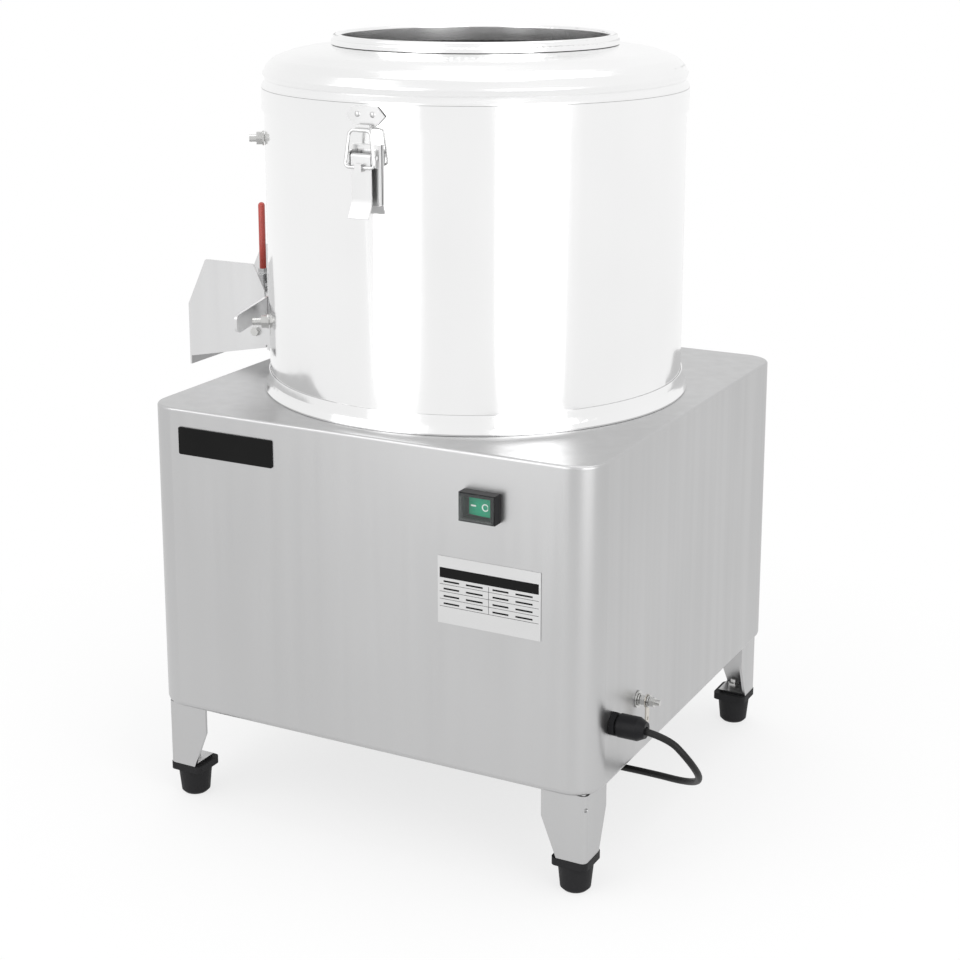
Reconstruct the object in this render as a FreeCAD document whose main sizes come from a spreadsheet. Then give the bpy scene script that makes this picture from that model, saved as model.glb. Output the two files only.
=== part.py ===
import math
import os

import FreeCAD
import Part
import Sketcher

# Electric potato peeler: a floor-standing cabinet on four legs carries a steel drum with a
# turning abrasive disc, a lift-off lid held by two draw latches, and a side chute closed by
# a sliding gate. Millimetres, +Z up, front of the cabinet towards -Y, chute towards -X.

V = FreeCAD.Vector
doc = FreeCAD.newDocument("PotatoPeeler")
sheet = doc.addObject("Spreadsheet::Sheet", "Sizes")


class Dim:
    """A size with the sheet expression that drives it."""

    def __init__(self, value, text):
        self.value = float(value)
        self.text = text

    def __add__(self, other):
        return join(self, "+", other)

    def __radd__(self, other):
        return join(other, "+", self)

    def __sub__(self, other):
        return join(self, "-", other)

    def __rsub__(self, other):
        return join(other, "-", self)

    def __mul__(self, other):
        return join(self, "*", other)

    def __rmul__(self, other):
        return join(other, "*", self)

    def __truediv__(self, other):
        return join(self, "/", other)

    def __neg__(self):
        return join(-1, "*", self)


def number(item):
    return item.value if isinstance(item, Dim) else float(item)


def text(item):
    return item.text if isinstance(item, Dim) else "(%r)" % float(item)


def join(left, sign, right):
    a = number(left)
    b = number(right)
    results = {"+": a + b, "-": a - b, "*": a * b, "/": a / b if b else 0.0}
    return Dim(results[sign], "(%s %s %s)" % (text(left), sign, text(right)))


def root(item):
    return Dim(math.sqrt(number(item)), "sqrt(%s)" % text(item))


rows = []


def size(alias, value):
    """Write one driving size into the sheet and return it."""
    rows.append(alias)
    row = len(rows)
    sheet.set("A%d" % row, alias)
    sheet.set("B%d" % row, str(value))
    sheet.setAlias("B%d" % row, alias)
    return Dim(value, "Sizes." + alias)


# Gaps
seam = size("seam_gap", 0.3)
run_gap = size("running_gap", 0.04)
fit_gap = size("bolt_gap", 0.2)

# Cabinet and legs
base_x = size("cabinet_length", 530)
base_y = size("cabinet_depth", 520)
base_low = size("cabinet_underside", 112)
base_high = size("cabinet_top", 455)
corner = size("cabinet_corner_radius", 33)
sheet_t = size("cabinet_sheet", 1.5)
fold_low = size("cabinet_low_fold_radius", 7)
fold_top = size("cabinet_top_fold_radius", 3)
return_w = size("cabinet_return_flange", 24)
leg_w = size("leg_flange_width", 50)
leg_foot_w = size("leg_foot_width", 33)
leg_t = size("leg_sheet", 3)
leg_straight = size("leg_straight_height", 30)
leg_inset = size("leg_inset", 9)
foot_r = size("foot_radius", 19.5)
foot_low_r = size("foot_low_radius", 16)
foot_h = size("foot_height", 38)
foot_rim = size("foot_rim_width", 40)
foot_rim_h = size("foot_rim_height", 8)
bolt_r = size("bolt_radius", 4)
nut_r = size("nut_radius", 7.5)
nut_h = size("nut_height", 6.5)
washer_r = size("washer_radius", 8)
washer_t = size("washer_thickness", 1.6)

# Drum and lid
drum_r = size("drum_radius", 230)
drum_t = size("drum_wall", 2)
lid_seam = size("lid_seam_height", 787)
liner_t = size("liner_thickness", 5)
liner_low = size("liner_low", 492)
liner_high = size("liner_high", 720)
skirt_r = drum_r + size("foot_ring_width", 7)
skirt_h = size("foot_ring_height", 20)
band_r = drum_r + size("lid_band_overhang", 2.5)
band_low = lid_seam - size("lid_band_height", 24)
lid_t = size("lid_sheet", 1.5)
lid_high = lid_seam + size("lid_rise", 45)
mouth_r = size("mouth_radius", 146)
collar_r = mouth_r + size("collar_width", 10.5)
collar_top = lid_high + size("collar_rise", 11)

# Turning parts
shaft_r = size("shaft_radius", 12.5)
shaft_low = size("shaft_low", 138)
disc_r = drum_r - size("disc_edge_gap", 13)
disc_low = base_high + size("disc_rise", 17)
disc_t = size("disc_thickness", 10)
wave_h = size("disc_wave_height", 9)
pulley_z = size("pulley_height", 150)
pulley_h = size("pulley_width", 20)
pulley_r = size("driven_pulley_radius", 100)
drive_r = size("drive_pulley_radius", 25)
belt_t = size("belt_thickness", 6)
motor_x = size("motor_x", 130)
motor_y = size("motor_y", 100)
motor_r = size("motor_radius", 68)
motor_low = size("motor_low", 205)
motor_h = size("motor_height", 170)
motor_shaft_r = size("motor_shaft_radius", 9)
housing_r = size("bearing_housing_radius", 45)
housing_low = base_high - size("bearing_housing_height", 135)
bearing_r = size("bearing_radius", 26)
bearing_h = size("bearing_width", 15)

# Discharge
chute_y = size("chute_half_width", 60)
chute_t = size("chute_sheet", 2)
chute_back = drum_r + size("chute_standoff", 11)
chute_tip = chute_back + size("chute_length", 110)
door_low = size("opening_low", 484)
chute_floor = door_low - size("chute_floor_step", 4)
chute_top = size("chute_top_height", 575)
chute_drop = size("chute_floor_drop", 21)
lip_h = size("chute_lip_height", 12)
door_y = chute_y - size("opening_side_margin", 10)
door_high = chute_top - size("opening_top_margin", 9)
gate_t = size("gate_sheet", 3.4)
tab_reach = chute_y + size("gate_tab_reach", 68)
tab_h = size("gate_tab_height", 21)
tab_z = door_low + size("gate_tab_rise", 35)
pivot_x = chute_back + size("clamp_pivot_distance", 44)
pivot_z = chute_top - size("clamp_pivot_drop", 29)
grip_r = size("grip_radius", 4)
grip_low = pivot_z + size("grip_rise", 10)
grip_len = size("grip_length", 81)

# Latches
keeper_w = size("keeper_width", 45)
keeper_h = size("keeper_height", 21)
rivet_pitch = size("keeper_rivet_pitch", 17.4)
bail_r = size("bail_wire_radius", 1.75)
bail_w = size("bail_width", 34)
bail_top = band_low - size("bail_drop", 1.4)
latch_z = band_low - size("latch_drop", 28.4)
lever_w = size("lever_width", 24)
lever_low = latch_z - size("lever_length", 60.6)

# Controls, gland, stud and outlets
switch_x = size("switch_x", 144)
switch_z = size("switch_height", 402)
bezel_w = size("bezel_width", 40)
bezel_h = size("bezel_height", 30)
bezel_d = size("bezel_depth", 12)
rocker_w = size("rocker_width", 28)
rocker_h = size("rocker_height", 20)
badge_w = size("badge_width", 119)
badge_h = size("badge_height", 30)
badge_x = size("badge_x", 161.5)
badge_z = size("badge_height_above_floor", 420.6)
rating_w = size("rating_plate_width", 115)
rating_h = size("rating_plate_height", 71)
rating_x = size("rating_plate_x", 151.5)
rating_z = size("rating_plate_height_above_floor", 307.5)
gland_y = size("gland_y", 210)
gland_z = size("gland_height", 177)
gland_r = size("gland_radius", 12.2)
gland_out = size("gland_reach", 37)
cord_r = size("cord_radius", 3.6)
stud_y = size("bonding_stud_y", 145)
stud_z = size("bonding_stud_height", 178)
stud_r = size("bonding_stud_radius", 3)
stud_out = size("bonding_stud_reach", 25)
waste_r = size("waste_pipe_radius", 25)
waste_t = size("waste_pipe_wall", 2)
spigot_r = size("waste_spigot_radius", 24)
waste_y = size("waste_pipe_y", 150)
waste_z = size("waste_pipe_height", 385)
waste_out = base_y / 2 + size("waste_pipe_reach", 38)
inlet_r = size("inlet_radius", 6.5)
inlet_x = size("inlet_x", 80)
inlet_z = lid_seam - size("inlet_drop", 52)
inlet_out = drum_r + size("inlet_reach", 45)
bar_low = size("deflector_bolt_low", 527)
bar_high = size("deflector_bolt_high", 731)
bar_turn = size("deflector_angle", -57)

doc.recompute()

nodes = []


def bind(item, prop, value):
    """Set a property to a number, or tie it to the sheet."""
    if isinstance(value, Dim):
        item.setExpression(prop, value.text)
    else:
        setattr(item, prop, value)


AXES = {
    "z": FreeCAD.Rotation(),
    "x": FreeCAD.Rotation(V(0, 1, 0), 90),
    "-x": FreeCAD.Rotation(V(0, 1, 0), -90),
    "y": FreeCAD.Rotation(V(1, 0, 0), -90),
    "-y": FreeCAD.Rotation(V(1, 0, 0), 90),
}


def place(item, x, y, z, turn=None):
    """Put an object at a point; sizes from the sheet stay tied to it."""
    turn = turn or FreeCAD.Rotation()
    item.Placement = FreeCAD.Placement(V(number(x), number(y), number(z)), turn)
    for letter, value in (("x", x), ("y", y), ("z", z)):
        if isinstance(value, Dim):
            item.setExpression("Placement.Base." + letter, value.text)
    return item


def box(x, y, z, long, deep, high):
    """A block from its low corner."""
    item = doc.addObject("Part::Box", "Block")
    bind(item, "Length", long)
    bind(item, "Width", deep)
    bind(item, "Height", high)
    return place(item, x, y, z)


def rod(x, y, z, radius, high, axis="z"):
    """A round bar from the centre of its first face."""
    item = doc.addObject("Part::Cylinder", "Rod")
    bind(item, "Radius", radius)
    bind(item, "Height", high)
    return place(item, x, y, z, AXES[axis])


def cone(x, y, z, first, second, high, axis="z"):
    item = doc.addObject("Part::Cone", "Cone")
    bind(item, "Radius1", first)
    bind(item, "Radius2", second)
    bind(item, "Height", high)
    return place(item, x, y, z, AXES[axis])


def ball(x, y, z, radius):
    item = doc.addObject("Part::Sphere", "Ball")
    bind(item, "Radius", radius)
    return place(item, x, y, z)


def hexagon(x, y, z, radius, high, axis="z"):
    """A hexagonal bar: a nut or a bolt head, radius to its corners."""
    item = doc.addObject("Part::Prism", "Hexagon")
    item.Polygon = 6
    bind(item, "Circumradius", radius)
    bind(item, "Height", high)
    return place(item, x, y, z, AXES[axis])


def fuse(*items):
    made = doc.addObject("Part::MultiFuse", "Joined")
    made.Shapes = list(items)
    return made


def cut(base, *tools):
    made = doc.addObject("Part::Cut", "Cutout")
    made.Base = base
    made.Tool = tools[0] if len(tools) == 1 else fuse(*tools)
    return made


def meet(first, second):
    made = doc.addObject("Part::Common", "Shared")
    made.Base = first
    made.Tool = second
    return made


def group(*items):
    """Separate solids that share one node."""
    made = doc.addObject("Part::Compound", "Group")
    made.Links = list(items)
    return made


def turned(item, angle):
    """Turn a finished object about the drum's axis."""
    item.Placement = FreeCAD.Placement(V(0, 0, 0), FreeCAD.Rotation(V(0, 0, 1), number(angle)))
    if isinstance(angle, Dim):
        item.setExpression("Placement.Rotation.Angle", (-angle).text)
        item.Placement = FreeCAD.Placement(V(0, 0, 0), FreeCAD.Rotation(V(0, 0, -1), -number(angle)))
    return item


def node(name, item):
    """Name a finished sub-part; the name is also its file's name."""
    item.Label = name
    nodes.append(item)
    return item


def new_body():
    return doc.addObject("PartDesign::Body", "Body")


def outline(body, role, corners, offset=None):
    """A closed sketch through corners (x, y) or (x, y, radius), tied to the sheet."""
    sketch = body.newObject("Sketcher::SketchObject", "Outline")
    plane = [item for item in body.Origin.OriginFeatures if item.Role == role][0]
    sketch.AttachmentSupport = [(plane, "")]
    sketch.MapMode = "FlatFace"
    if offset is not None:
        sketch.AttachmentOffset = FreeCAD.Placement(V(0, 0, number(offset)), FreeCAD.Rotation())
        height = offset if isinstance(offset, Dim) else Dim(offset, text(offset))
        bind(sketch, "AttachmentOffset.Base.z", height)
    count = len(corners)
    points = [V(number(item[0]), number(item[1]), 0) for item in corners]
    rounds = [item[2] if len(item) > 2 else None for item in corners]
    starts = []
    ends = []
    for i in range(count):
        here = points[i]
        before = points[i - 1]
        after = points[(i + 1) % count]
        if rounds[i] is None:
            starts.append(here)
            ends.append(here)
            continue
        back = (before - here).normalize()
        ahead = (after - here).normalize()
        half = back.getAngle(ahead) / 2
        reach = number(rounds[i]) / math.tan(half)
        starts.append(here + back * reach)
        ends.append(here + ahead * reach)
    shapes = []
    for i in range(count):
        shapes.append(Part.LineSegment(ends[i], starts[(i + 1) % count]))
    arcs = {}
    leftward = {}
    for i in range(count):
        if rounds[i] is None:
            continue
        here = points[i]
        middle = ((points[i - 1] - here).normalize() + (points[(i + 1) % count] - here).normalize())
        half = (points[i - 1] - here).getAngle(points[(i + 1) % count] - here) / 2
        centre = here + middle.normalize() * (number(rounds[i]) / math.sin(half))
        top = centre + (here - centre).normalize() * number(rounds[i])
        arcs[i] = len(shapes)
        leftward[i] = (top - starts[i]).cross(ends[i] - starts[i]).z > 0
        first, last = (starts[i], ends[i]) if leftward[i] else (ends[i], starts[i])
        shapes.append(Part.Arc(first, top, last))
    sketch.addGeometry(shapes, False)
    limits = []
    ties = []
    marks = {}
    for i in range(count):
        line_in = (i - 1) % count
        line_out = i
        if rounds[i] is None:
            limits.append(Sketcher.Constraint("Coincident", line_in, 2, line_out, 1))
            continue
        arc = arcs[i]
        first, last = (1, 2) if leftward[i] else (2, 1)
        limits.append(Sketcher.Constraint("Tangent", line_in, 2, arc, first))
        limits.append(Sketcher.Constraint("Tangent", arc, last, line_out, 1))
        marks[i] = sketch.addGeometry(Part.Point(points[i]), True)
        limits.append(Sketcher.Constraint("PointOnObject", marks[i], 1, line_in))
        limits.append(Sketcher.Constraint("PointOnObject", marks[i], 1, line_out))
    sketch.addConstraint(limits)
    for i in range(count):
        item = (marks[i], 1) if i in marks else (i, 1)
        for kind, axis in (("DistanceX", 0), ("DistanceY", 1)):
            value = corners[i][axis]
            ties.append((Sketcher.Constraint(kind, -1, 1, item[0], item[1], number(value)), value))
        if rounds[i] is not None:
            ties.append((Sketcher.Constraint("Radius", arcs[i], number(rounds[i])), rounds[i]))
    first_tie = sketch.ConstraintCount
    sketch.addConstraint([item[0] for item in ties])
    for index, item in enumerate(ties):
        if isinstance(item[1], Dim):
            sketch.setExpression("Constraints[%d]" % (first_tie + index), item[1].text)
    return sketch


def pad(body, sketch, length, middle=False, reverse=False):
    made = body.newObject("PartDesign::Pad", "Pad")
    made.Profile = sketch
    bind(made, "Length", length)
    made.Midplane = middle
    made.Reversed = reverse
    body.Tip = made
    return body


def prism(role, corners, length, offset=None, middle=False, reverse=False):
    body = new_body()
    return pad(body, outline(body, role, corners, offset), length, middle, reverse)


def revolved(corners):
    """A ring or dish turned about the vertical axis from corners (radius, height)."""
    body = new_body()
    sketch = outline(body, "XZ_Plane", corners)
    made = body.newObject("PartDesign::Revolution", "Turned")
    made.Profile = sketch
    made.ReferenceAxis = (sketch, ["V_Axis"])
    made.Angle = 360
    body.Tip = made
    return body


def ring(inner, outer, low, high):
    return revolved([(inner, low), (outer, low), (outer, high), (inner, high)])


def rounded_block(long, deep, radius, low, high):
    x = long / 2
    y = deep / 2
    corners = [(-x, -y, radius), (x, -y, radius), (x, y, radius), (-x, y, radius)]
    return prism("XY_Plane", corners, high - low, offset=low)


def edges_at(shape, height):
    """Names of the edges that lie flat at a height."""
    names = []
    for index, edge in enumerate(shape.Edges):
        bounds = edge.BoundBox
        if abs(bounds.ZMin - height) < 0.01 and abs(bounds.ZMax - height) < 0.01:
            names.append("Edge%d" % (index + 1))
    return names


def soften(body, height, radius):
    """Round every edge of a body that lies at one height."""
    doc.recompute()
    base = body.Tip
    names = edges_at(base.Shape, number(height))
    made = body.newObject("PartDesign::Fillet", "Fold")
    made.Base = (base, names)
    bind(made, "Radius", radius)
    body.Tip = made
    return body


# Cabinet: one folded stainless sheet, open below inside a return flange
def cabinet():
    outer = rounded_block(base_x, base_y, corner, base_low, base_high)
    soften(outer, base_high, fold_top)
    soften(outer, base_low, fold_low)
    inside = rounded_block(
        base_x - sheet_t * 2, base_y - sheet_t * 2, corner - sheet_t, base_low + sheet_t, base_high - sheet_t
    )
    soften(inside, base_high - sheet_t, fold_top - sheet_t)
    soften(inside, base_low + sheet_t, fold_low - sheet_t)
    below = rounded_block(
        base_x - return_w * 2, base_y - return_w * 2, corner - 10, base_low - 5, base_low + sheet_t * 3
    )
    front = -base_y / 2
    side = base_x / 2
    holes = [
        inside,
        below,
        rod(0, 0, base_high - 10, housing_r - 13, 20),
        rod(0, waste_y, base_high - 10, waste_r + 1, 20),
        rod(0, base_y / 2 - 10, waste_z, waste_r + 1, 20, "y"),
        box(
            switch_x - rocker_w / 2 - 2,
            front - 5,
            switch_z - rocker_h / 2 - 2,
            rocker_w + 4,
            10,
            rocker_h + 4,
        ),
        rod(side - 5, -gland_y, gland_z, cord_r + 5.6, 10, "x"),
        rod(side - 5, -stud_y, stud_z, stud_r + fit_gap, 10, "x"),
    ]
    for angle in (45, 135, 225, 315):
        holes.append(flange_hole(angle, base_high - 10))
    node("cabinet_skin", cut(outer, *holes))


def flange_hole(angle, low):
    reach = (housing_r + 12) * math.cos(math.radians(angle))
    side = (housing_r + 12) * math.sin(math.radians(angle))
    return rod(reach, side, low, bolt_r + fit_gap, 20)


def motor_bolt_spots():
    reach = motor_r - 6
    return [(motor_x + reach * a, motor_y + reach * b) for a, b in ((1, 0), (0, 1), (-1, 0), (0, -1))]


# Legs: L-section pressings on moulded rubber feet
CORNERS = (
    ("front_left", -1, -1, 0),
    ("front_right", 1, -1, 90),
    ("rear_right", 1, 1, 180),
    ("rear_left", -1, 1, 270),
)


def corner_place(item, sx, sy, angle, z=0):
    x = (base_x / 2 - leg_inset) * sx
    y = (base_y / 2 - leg_inset) * sy
    return place(item, x, y, z, FreeCAD.Rotation(V(0, 0, 1), angle))


def legs_and_feet():
    top = base_low - seam
    low = foot_h + seam
    middle = leg_foot_w / 2 + 3
    feet = []
    bolts = []
    for name, sx, sy, angle in CORNERS:
        square = [(0, 0, leg_t * 2), (leg_w, 0), (leg_w, leg_w), (0, leg_w)]
        outer = prism("XY_Plane", square, top - low, offset=low)
        inner = prism(
            "XY_Plane",
            [(leg_t, leg_t, leg_t), (leg_w + 5, leg_t), (leg_w + 5, leg_w + 5), (leg_t, leg_w + 5)],
            top - low + 10,
            offset=low + leg_t,
        )
        taper = [(-1, low), (leg_foot_w, low), (leg_w, top - leg_straight), (leg_w, top), (-1, top)]
        wide = prism("XZ_Plane", taper, leg_w * 2 + 10, middle=True)
        deep = prism("YZ_Plane", taper, leg_w * 2 + 10, middle=True)
        leg = cut(
            meet(meet(cut(outer, inner), wide), deep),
            rod(middle, middle, low - 1, bolt_r + fit_gap, 10),
            rod(leg_t * 0.8, leg_t * 0.8, top - leg_straight * 0.5, 2.2, 12, "-y"),
        )
        node("leg_" + name, corner_place(leg, sx, sy, angle))
        rim = foot_rim / 2
        pad_top = prism(
            "XY_Plane",
            [
                (middle - rim, middle - rim, 6),
                (middle + rim, middle - rim, 6),
                (middle + rim, middle + rim, 6),
                (middle - rim, middle + rim, 6),
            ],
            foot_rim_h,
            offset=foot_h - foot_rim_h,
        )
        stem = cone(middle, middle, 3, foot_low_r, foot_r, foot_h - 4)
        sole = cone(middle, middle, 0, foot_low_r - 3, foot_low_r, 3)
        foot = cut(
            fuse(pad_top, stem, sole),
            rod(middle, middle, -1, nut_r + 1, 13),
            rod(middle, middle, 5, bolt_r + fit_gap, foot_h),
        )
        feet.append(corner_place(foot, sx, sy, angle))
        head_z = 12 - nut_h
        bolt = fuse(
            hexagon(middle, middle, head_z, nut_r - 0.5, nut_h),
            rod(middle, middle, head_z + 1, bolt_r, foot_h + 8),
        )
        bolts.append(corner_place(bolt, sx, sy, angle))
        nut_z = low + leg_t
        nut = cut(
            hexagon(middle, middle, nut_z, nut_r - 0.5, nut_h),
            rod(middle, middle, nut_z - 1, bolt_r, nut_h + 2),
        )
        bolts.append(corner_place(nut, sx, sy, angle))
    node("rubber_feet", group(*feet))
    node("foot_bolts", group(*bolts))


# Drum: rolled wall on a turned-out foot ring, with an abrasive liner inside
def door_block(grow):
    """The block that cuts the discharge opening, grown by a margin on its four sides."""
    return box(
        -drum_r - 40,
        -door_y - grow,
        door_low - grow,
        drum_r,
        (door_y + grow) * 2,
        door_high - door_low + grow * 2,
    )


def bolt_holes(radius):
    holes = fuse(
        rod(0, -drum_r + 40, bar_low, radius, 60, "-y"),
        rod(0, -drum_r + 40, bar_high, radius, 60, "-y"),
    )
    return turned(holes, bar_turn)


def drum():
    low = base_high + seam
    top = lid_seam - seam
    wall = revolved(
        [
            (drum_r - drum_t, low),
            (drum_r, low),
            (drum_r, top),
            (drum_r - 6, top),
            (drum_r - 6, top - drum_t),
            (drum_r - drum_t, top - drum_t),
        ]
    )
    latch_holes = []
    for way in ("-y", "y"):
        sign = -1 if way == "-y" else 1
        for x in (-8, 8):
            latch_holes.append(rod(x, (drum_r - 10) * sign, latch_z - 22, 2 + fit_gap, 20, way))
    node(
        "drum_shell",
        cut(
            wall,
            door_block(0),
            bolt_holes(bolt_r + fit_gap),
            rod(inlet_x, drum_r - 40, inlet_z, inlet_r + fit_gap, 60, "y"),
            *latch_holes,
        ),
    )
    node(
        "drum_foot_ring",
        revolved(
            [
                (drum_r + seam, low),
                (skirt_r, low),
                (skirt_r, low + 1.6),
                (drum_r + 3, low + skirt_h * 0.45, skirt_h * 0.9),
                (drum_r + 1.5, low + skirt_h),
                (drum_r + seam, low + skirt_h),
            ]
        ),
    )
    floor = ring(housing_r - 13, drum_r - drum_t - seam, low, low + 3)
    flange_holes = [flange_hole(angle, low - 5) for angle in (45, 135, 225, 315)]
    node("drum_floor", cut(floor, rod(0, waste_y, low - 5, waste_r + 1, 20), *flange_holes))
    outer = drum_r - drum_t - seam
    liner = ring(outer - liner_t, outer, liner_low, liner_high)
    node("abrasive_liner", cut(liner, door_block(2), bolt_holes(bolt_r + fit_gap)))


def deflector():
    """A vertical bar inside the drum that turns the potatoes over, held by two bolts."""
    inside = drum_r - drum_t - seam - liner_t
    bar = prism(
        "XY_Plane",
        [(-14, -inside + 2.5), (14, -inside + 2.5), (5, -inside + 22, 4), (-5, -inside + 22, 4)],
        bar_high - bar_low + 40,
        offset=bar_low - 20,
    )
    seats = []
    bolts = []
    for height, reach in ((bar_low, 19), (bar_high, 17)):
        seats.append(rod(0, -inside + 20, height, bolt_r, 24, "-y"))
        bolts.append(rod(0, -inside + 18, height, bolt_r, liner_t + drum_t + reach + 18, "-y"))
        start = -drum_r - 0.8
        washer = cut(rod(0, start, height, washer_r, washer_t, "-y"), rod(0, start + 1, height, bolt_r, 10, "-y"))
        nut_start = start - washer_t
        nut = cut(
            hexagon(0, nut_start, height, nut_r, nut_h, "-y"),
            rod(0, nut_start + 1, height, bolt_r, nut_h + 4, "-y"),
        )
        bolts.extend([washer, nut])
    node("deflector_bar", turned(cut(bar, *seats), bar_turn))
    node("deflector_bolts", turned(group(*bolts), bar_turn))


# Lid: a pressed dome with a band, a rolled mouth collar and two keepers
def lid():
    seat = lid_seam
    inner = drum_r - 8
    dome = revolved(
        [
            (inner, seat),
            (band_r, seat),
            (band_r, seat + 2),
            (drum_r - 2, seat + 8),
            (drum_r + 1.5, seat + 15, 3),
            (drum_r - 3.5, seat + 24, 8),
            (drum_r - 11, seat + 31, 14),
            (drum_r - 32, seat + 38.5, 60),
            (collar_r - 2, lid_high),
            (mouth_r + 3.6, lid_high),
            (mouth_r + 3.6, lid_high - lid_t),
            (collar_r - 2, lid_high - lid_t),
            (drum_r - 32.5, seat + 37, 58),
            (drum_r - 12, seat + 29.7, 12),
            (drum_r - 5, seat + 23.4, 6.5),
            (drum_r - 0.2, seat + 15, 1.5),
            (drum_r - 3.8, seat + 8),
            (inner, seat + 1.6),
        ]
    )
    node("lid_dome", dome)
    node("lid_band", ring(drum_r + 0.6, band_r, band_low, seat - seam))
    z = lid_high + seam
    node(
        "mouth_collar",
        revolved(
            [
                (mouth_r, z - 8, 0.8),
                (mouth_r + 3.3, z - 8, 0.8),
                (mouth_r + 3.3, z),
                (collar_r, z),
                (collar_r, z + 5.4, 1.6),
                (collar_r - 2, z + 5.6),
                (collar_r - 2, collar_top, 3),
                (mouth_r, collar_top, 3),
            ]
        ),
    )
    keepers = []
    rivets = []
    for sign in (-1, 1):
        keepers.append(keeper(sign))
        for x in (-rivet_pitch / 2, rivet_pitch / 2):
            rivets.append(rivet(x, sign))
    node("latch_keepers", group(*keepers))
    node("keeper_rivets", group(*rivets))


def outward(item, sign):
    """Keep an object at the front, or swing it to the back."""
    return item if sign < 0 else turned(item, 180)


def keeper(sign):
    """Keeper plate with pointed sides and a hooked lower edge that the bail hangs from."""
    low = band_low + 0.5
    high = low + keeper_h
    middle = low + keeper_h * 0.55
    half = keeper_w / 2
    face = prism(
        "XZ_Plane",
        [
            (-8, low),
            (8, low),
            (half * 0.62, low + 3),
            (half, middle, 1.5),
            (half * 0.62, high, 2),
            (-half * 0.62, high, 2),
            (-half, middle, 1.5),
            (-half * 0.62, low + 3),
        ],
        1.5,
        offset=band_r + seam,
    )
    hook = prism(
        "YZ_Plane",
        [
            (-band_r - seam - 0.4, low + 0.2),
            (-band_r - seam - 0.4, low + 3),
            (-band_r - seam - 1.5, low + 3),
            (-band_r - seam - 5.6, low - 1, 1),
            (-band_r - seam - 5.6, low + 3.4),
            (-band_r - seam - 7, low + 3.4),
            (-band_r - seam - 7, low - 2.4, 2),
            (-band_r - seam - 3.5, low - 2.4, 1),
        ],
        16,
        middle=True,
    )
    return outward(fuse(face, hook), sign)


def rivet(x, sign):
    start = -band_r - seam - 1.5
    z = band_low + 0.5 + keeper_h * 0.62
    return outward(cut(ball(x, start + 2.6, z, 4), box(x - 10, start, z - 10, 20, 20, 20)), sign)


# Draw latches: a plate with ears on the drum, a folded lever and a wire bail
def latch(name, sign):
    back = -drum_r - seam
    plate = cut(
        box(-lever_w / 2 - 4, back - 5, lever_low + 12, lever_w + 8, 5, latch_z - lever_low),
        box(-lever_w / 2, back - 6, latch_z - 8, lever_w, 7, 16),
        rod(0, 0, lever_low, drum_r + seam, (latch_z - lever_low) * 2),
    )
    ears = []
    for side in (-1, 1):
        x = (lever_w / 2 + 1.2) * side
        ear = prism(
            "YZ_Plane",
            [
                (back - 4, latch_z - 12),
                (back - 4, latch_z + 8, 3),
                (back - 14, latch_z + 6, 5),
                (back - 14, latch_z - 8, 5),
            ],
            1.6,
            offset=x - 0.8,
        )
        ears.append(ear)
    pin_y = back - 9
    pin = rod(-lever_w / 2 - 4, pin_y, latch_z, 2, lever_w + 8, "x")
    node("latch_base_" + name, outward(fuse(plate, *ears, pin), sign))
    lever = prism(
        "YZ_Plane",
        [
            (pin_y - 4.5, latch_z + 4.8, 3.5),
            (pin_y + 0.5, latch_z + 4.2, 1.5),
            (pin_y + 3, latch_z + 2, 1.2),
            (pin_y + 3, latch_z - 4),
            (pin_y - 2.5, latch_z - 5),
            (pin_y - 1.5, lever_low + 14, 20),
            (pin_y - 9, lever_low),
            (pin_y - 11, lever_low + 0.8),
            (pin_y - 3.6, lever_low + 14.5, 18),
            (pin_y - 4.5, latch_z - 9),
        ],
        lever_w - 1.2,
        middle=True,
    )
    bore = rod(-lever_w, pin_y, latch_z, 2 + run_gap, lever_w * 2, "x")
    bail_z = latch_z - 9.5
    bail_y = pin_y - 4.5 - bail_r - 0.4
    lug = cut(
        box(-4, bail_y - bail_r - 2, bail_z - bail_r - 2, 8, 6.5 + bail_r, bail_r * 2 + 4),
        rod(-10, bail_y, bail_z, bail_r + run_gap, 20, "x"),
    )
    node("latch_lever_" + name, outward(fuse(cut(lever, bore), lug), sign))
    half = bail_w / 2
    top_y = -band_r - seam - 8.8 - bail_r - 0.6
    forward = bail_y - top_y
    upward = bail_top - bail_z
    lean = math.degrees(math.atan2(number(forward), number(upward)))
    rise = root(upward * upward + forward * forward)
    bars = [
        rod(-half, bail_y, bail_z, bail_r, bail_w, "x"),
        rod(-half, top_y, bail_top, bail_r, bail_w, "x"),
    ]
    for x in (-half, half):
        side = rod(x, bail_y, bail_z, bail_r, rise)
        place(side, x, bail_y, bail_z, FreeCAD.Rotation(V(1, 0, 0), lean))
        side.setExpression("Placement.Rotation.Angle", "atan2(%s; %s)" % (forward.text, upward.text))
        bars.append(side)
        bars.append(ball(x, bail_y, bail_z, bail_r))
        bars.append(ball(x, top_y, bail_top, bail_r))
    node("latch_bail_" + name, outward(fuse(*bars), sign))


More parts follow.
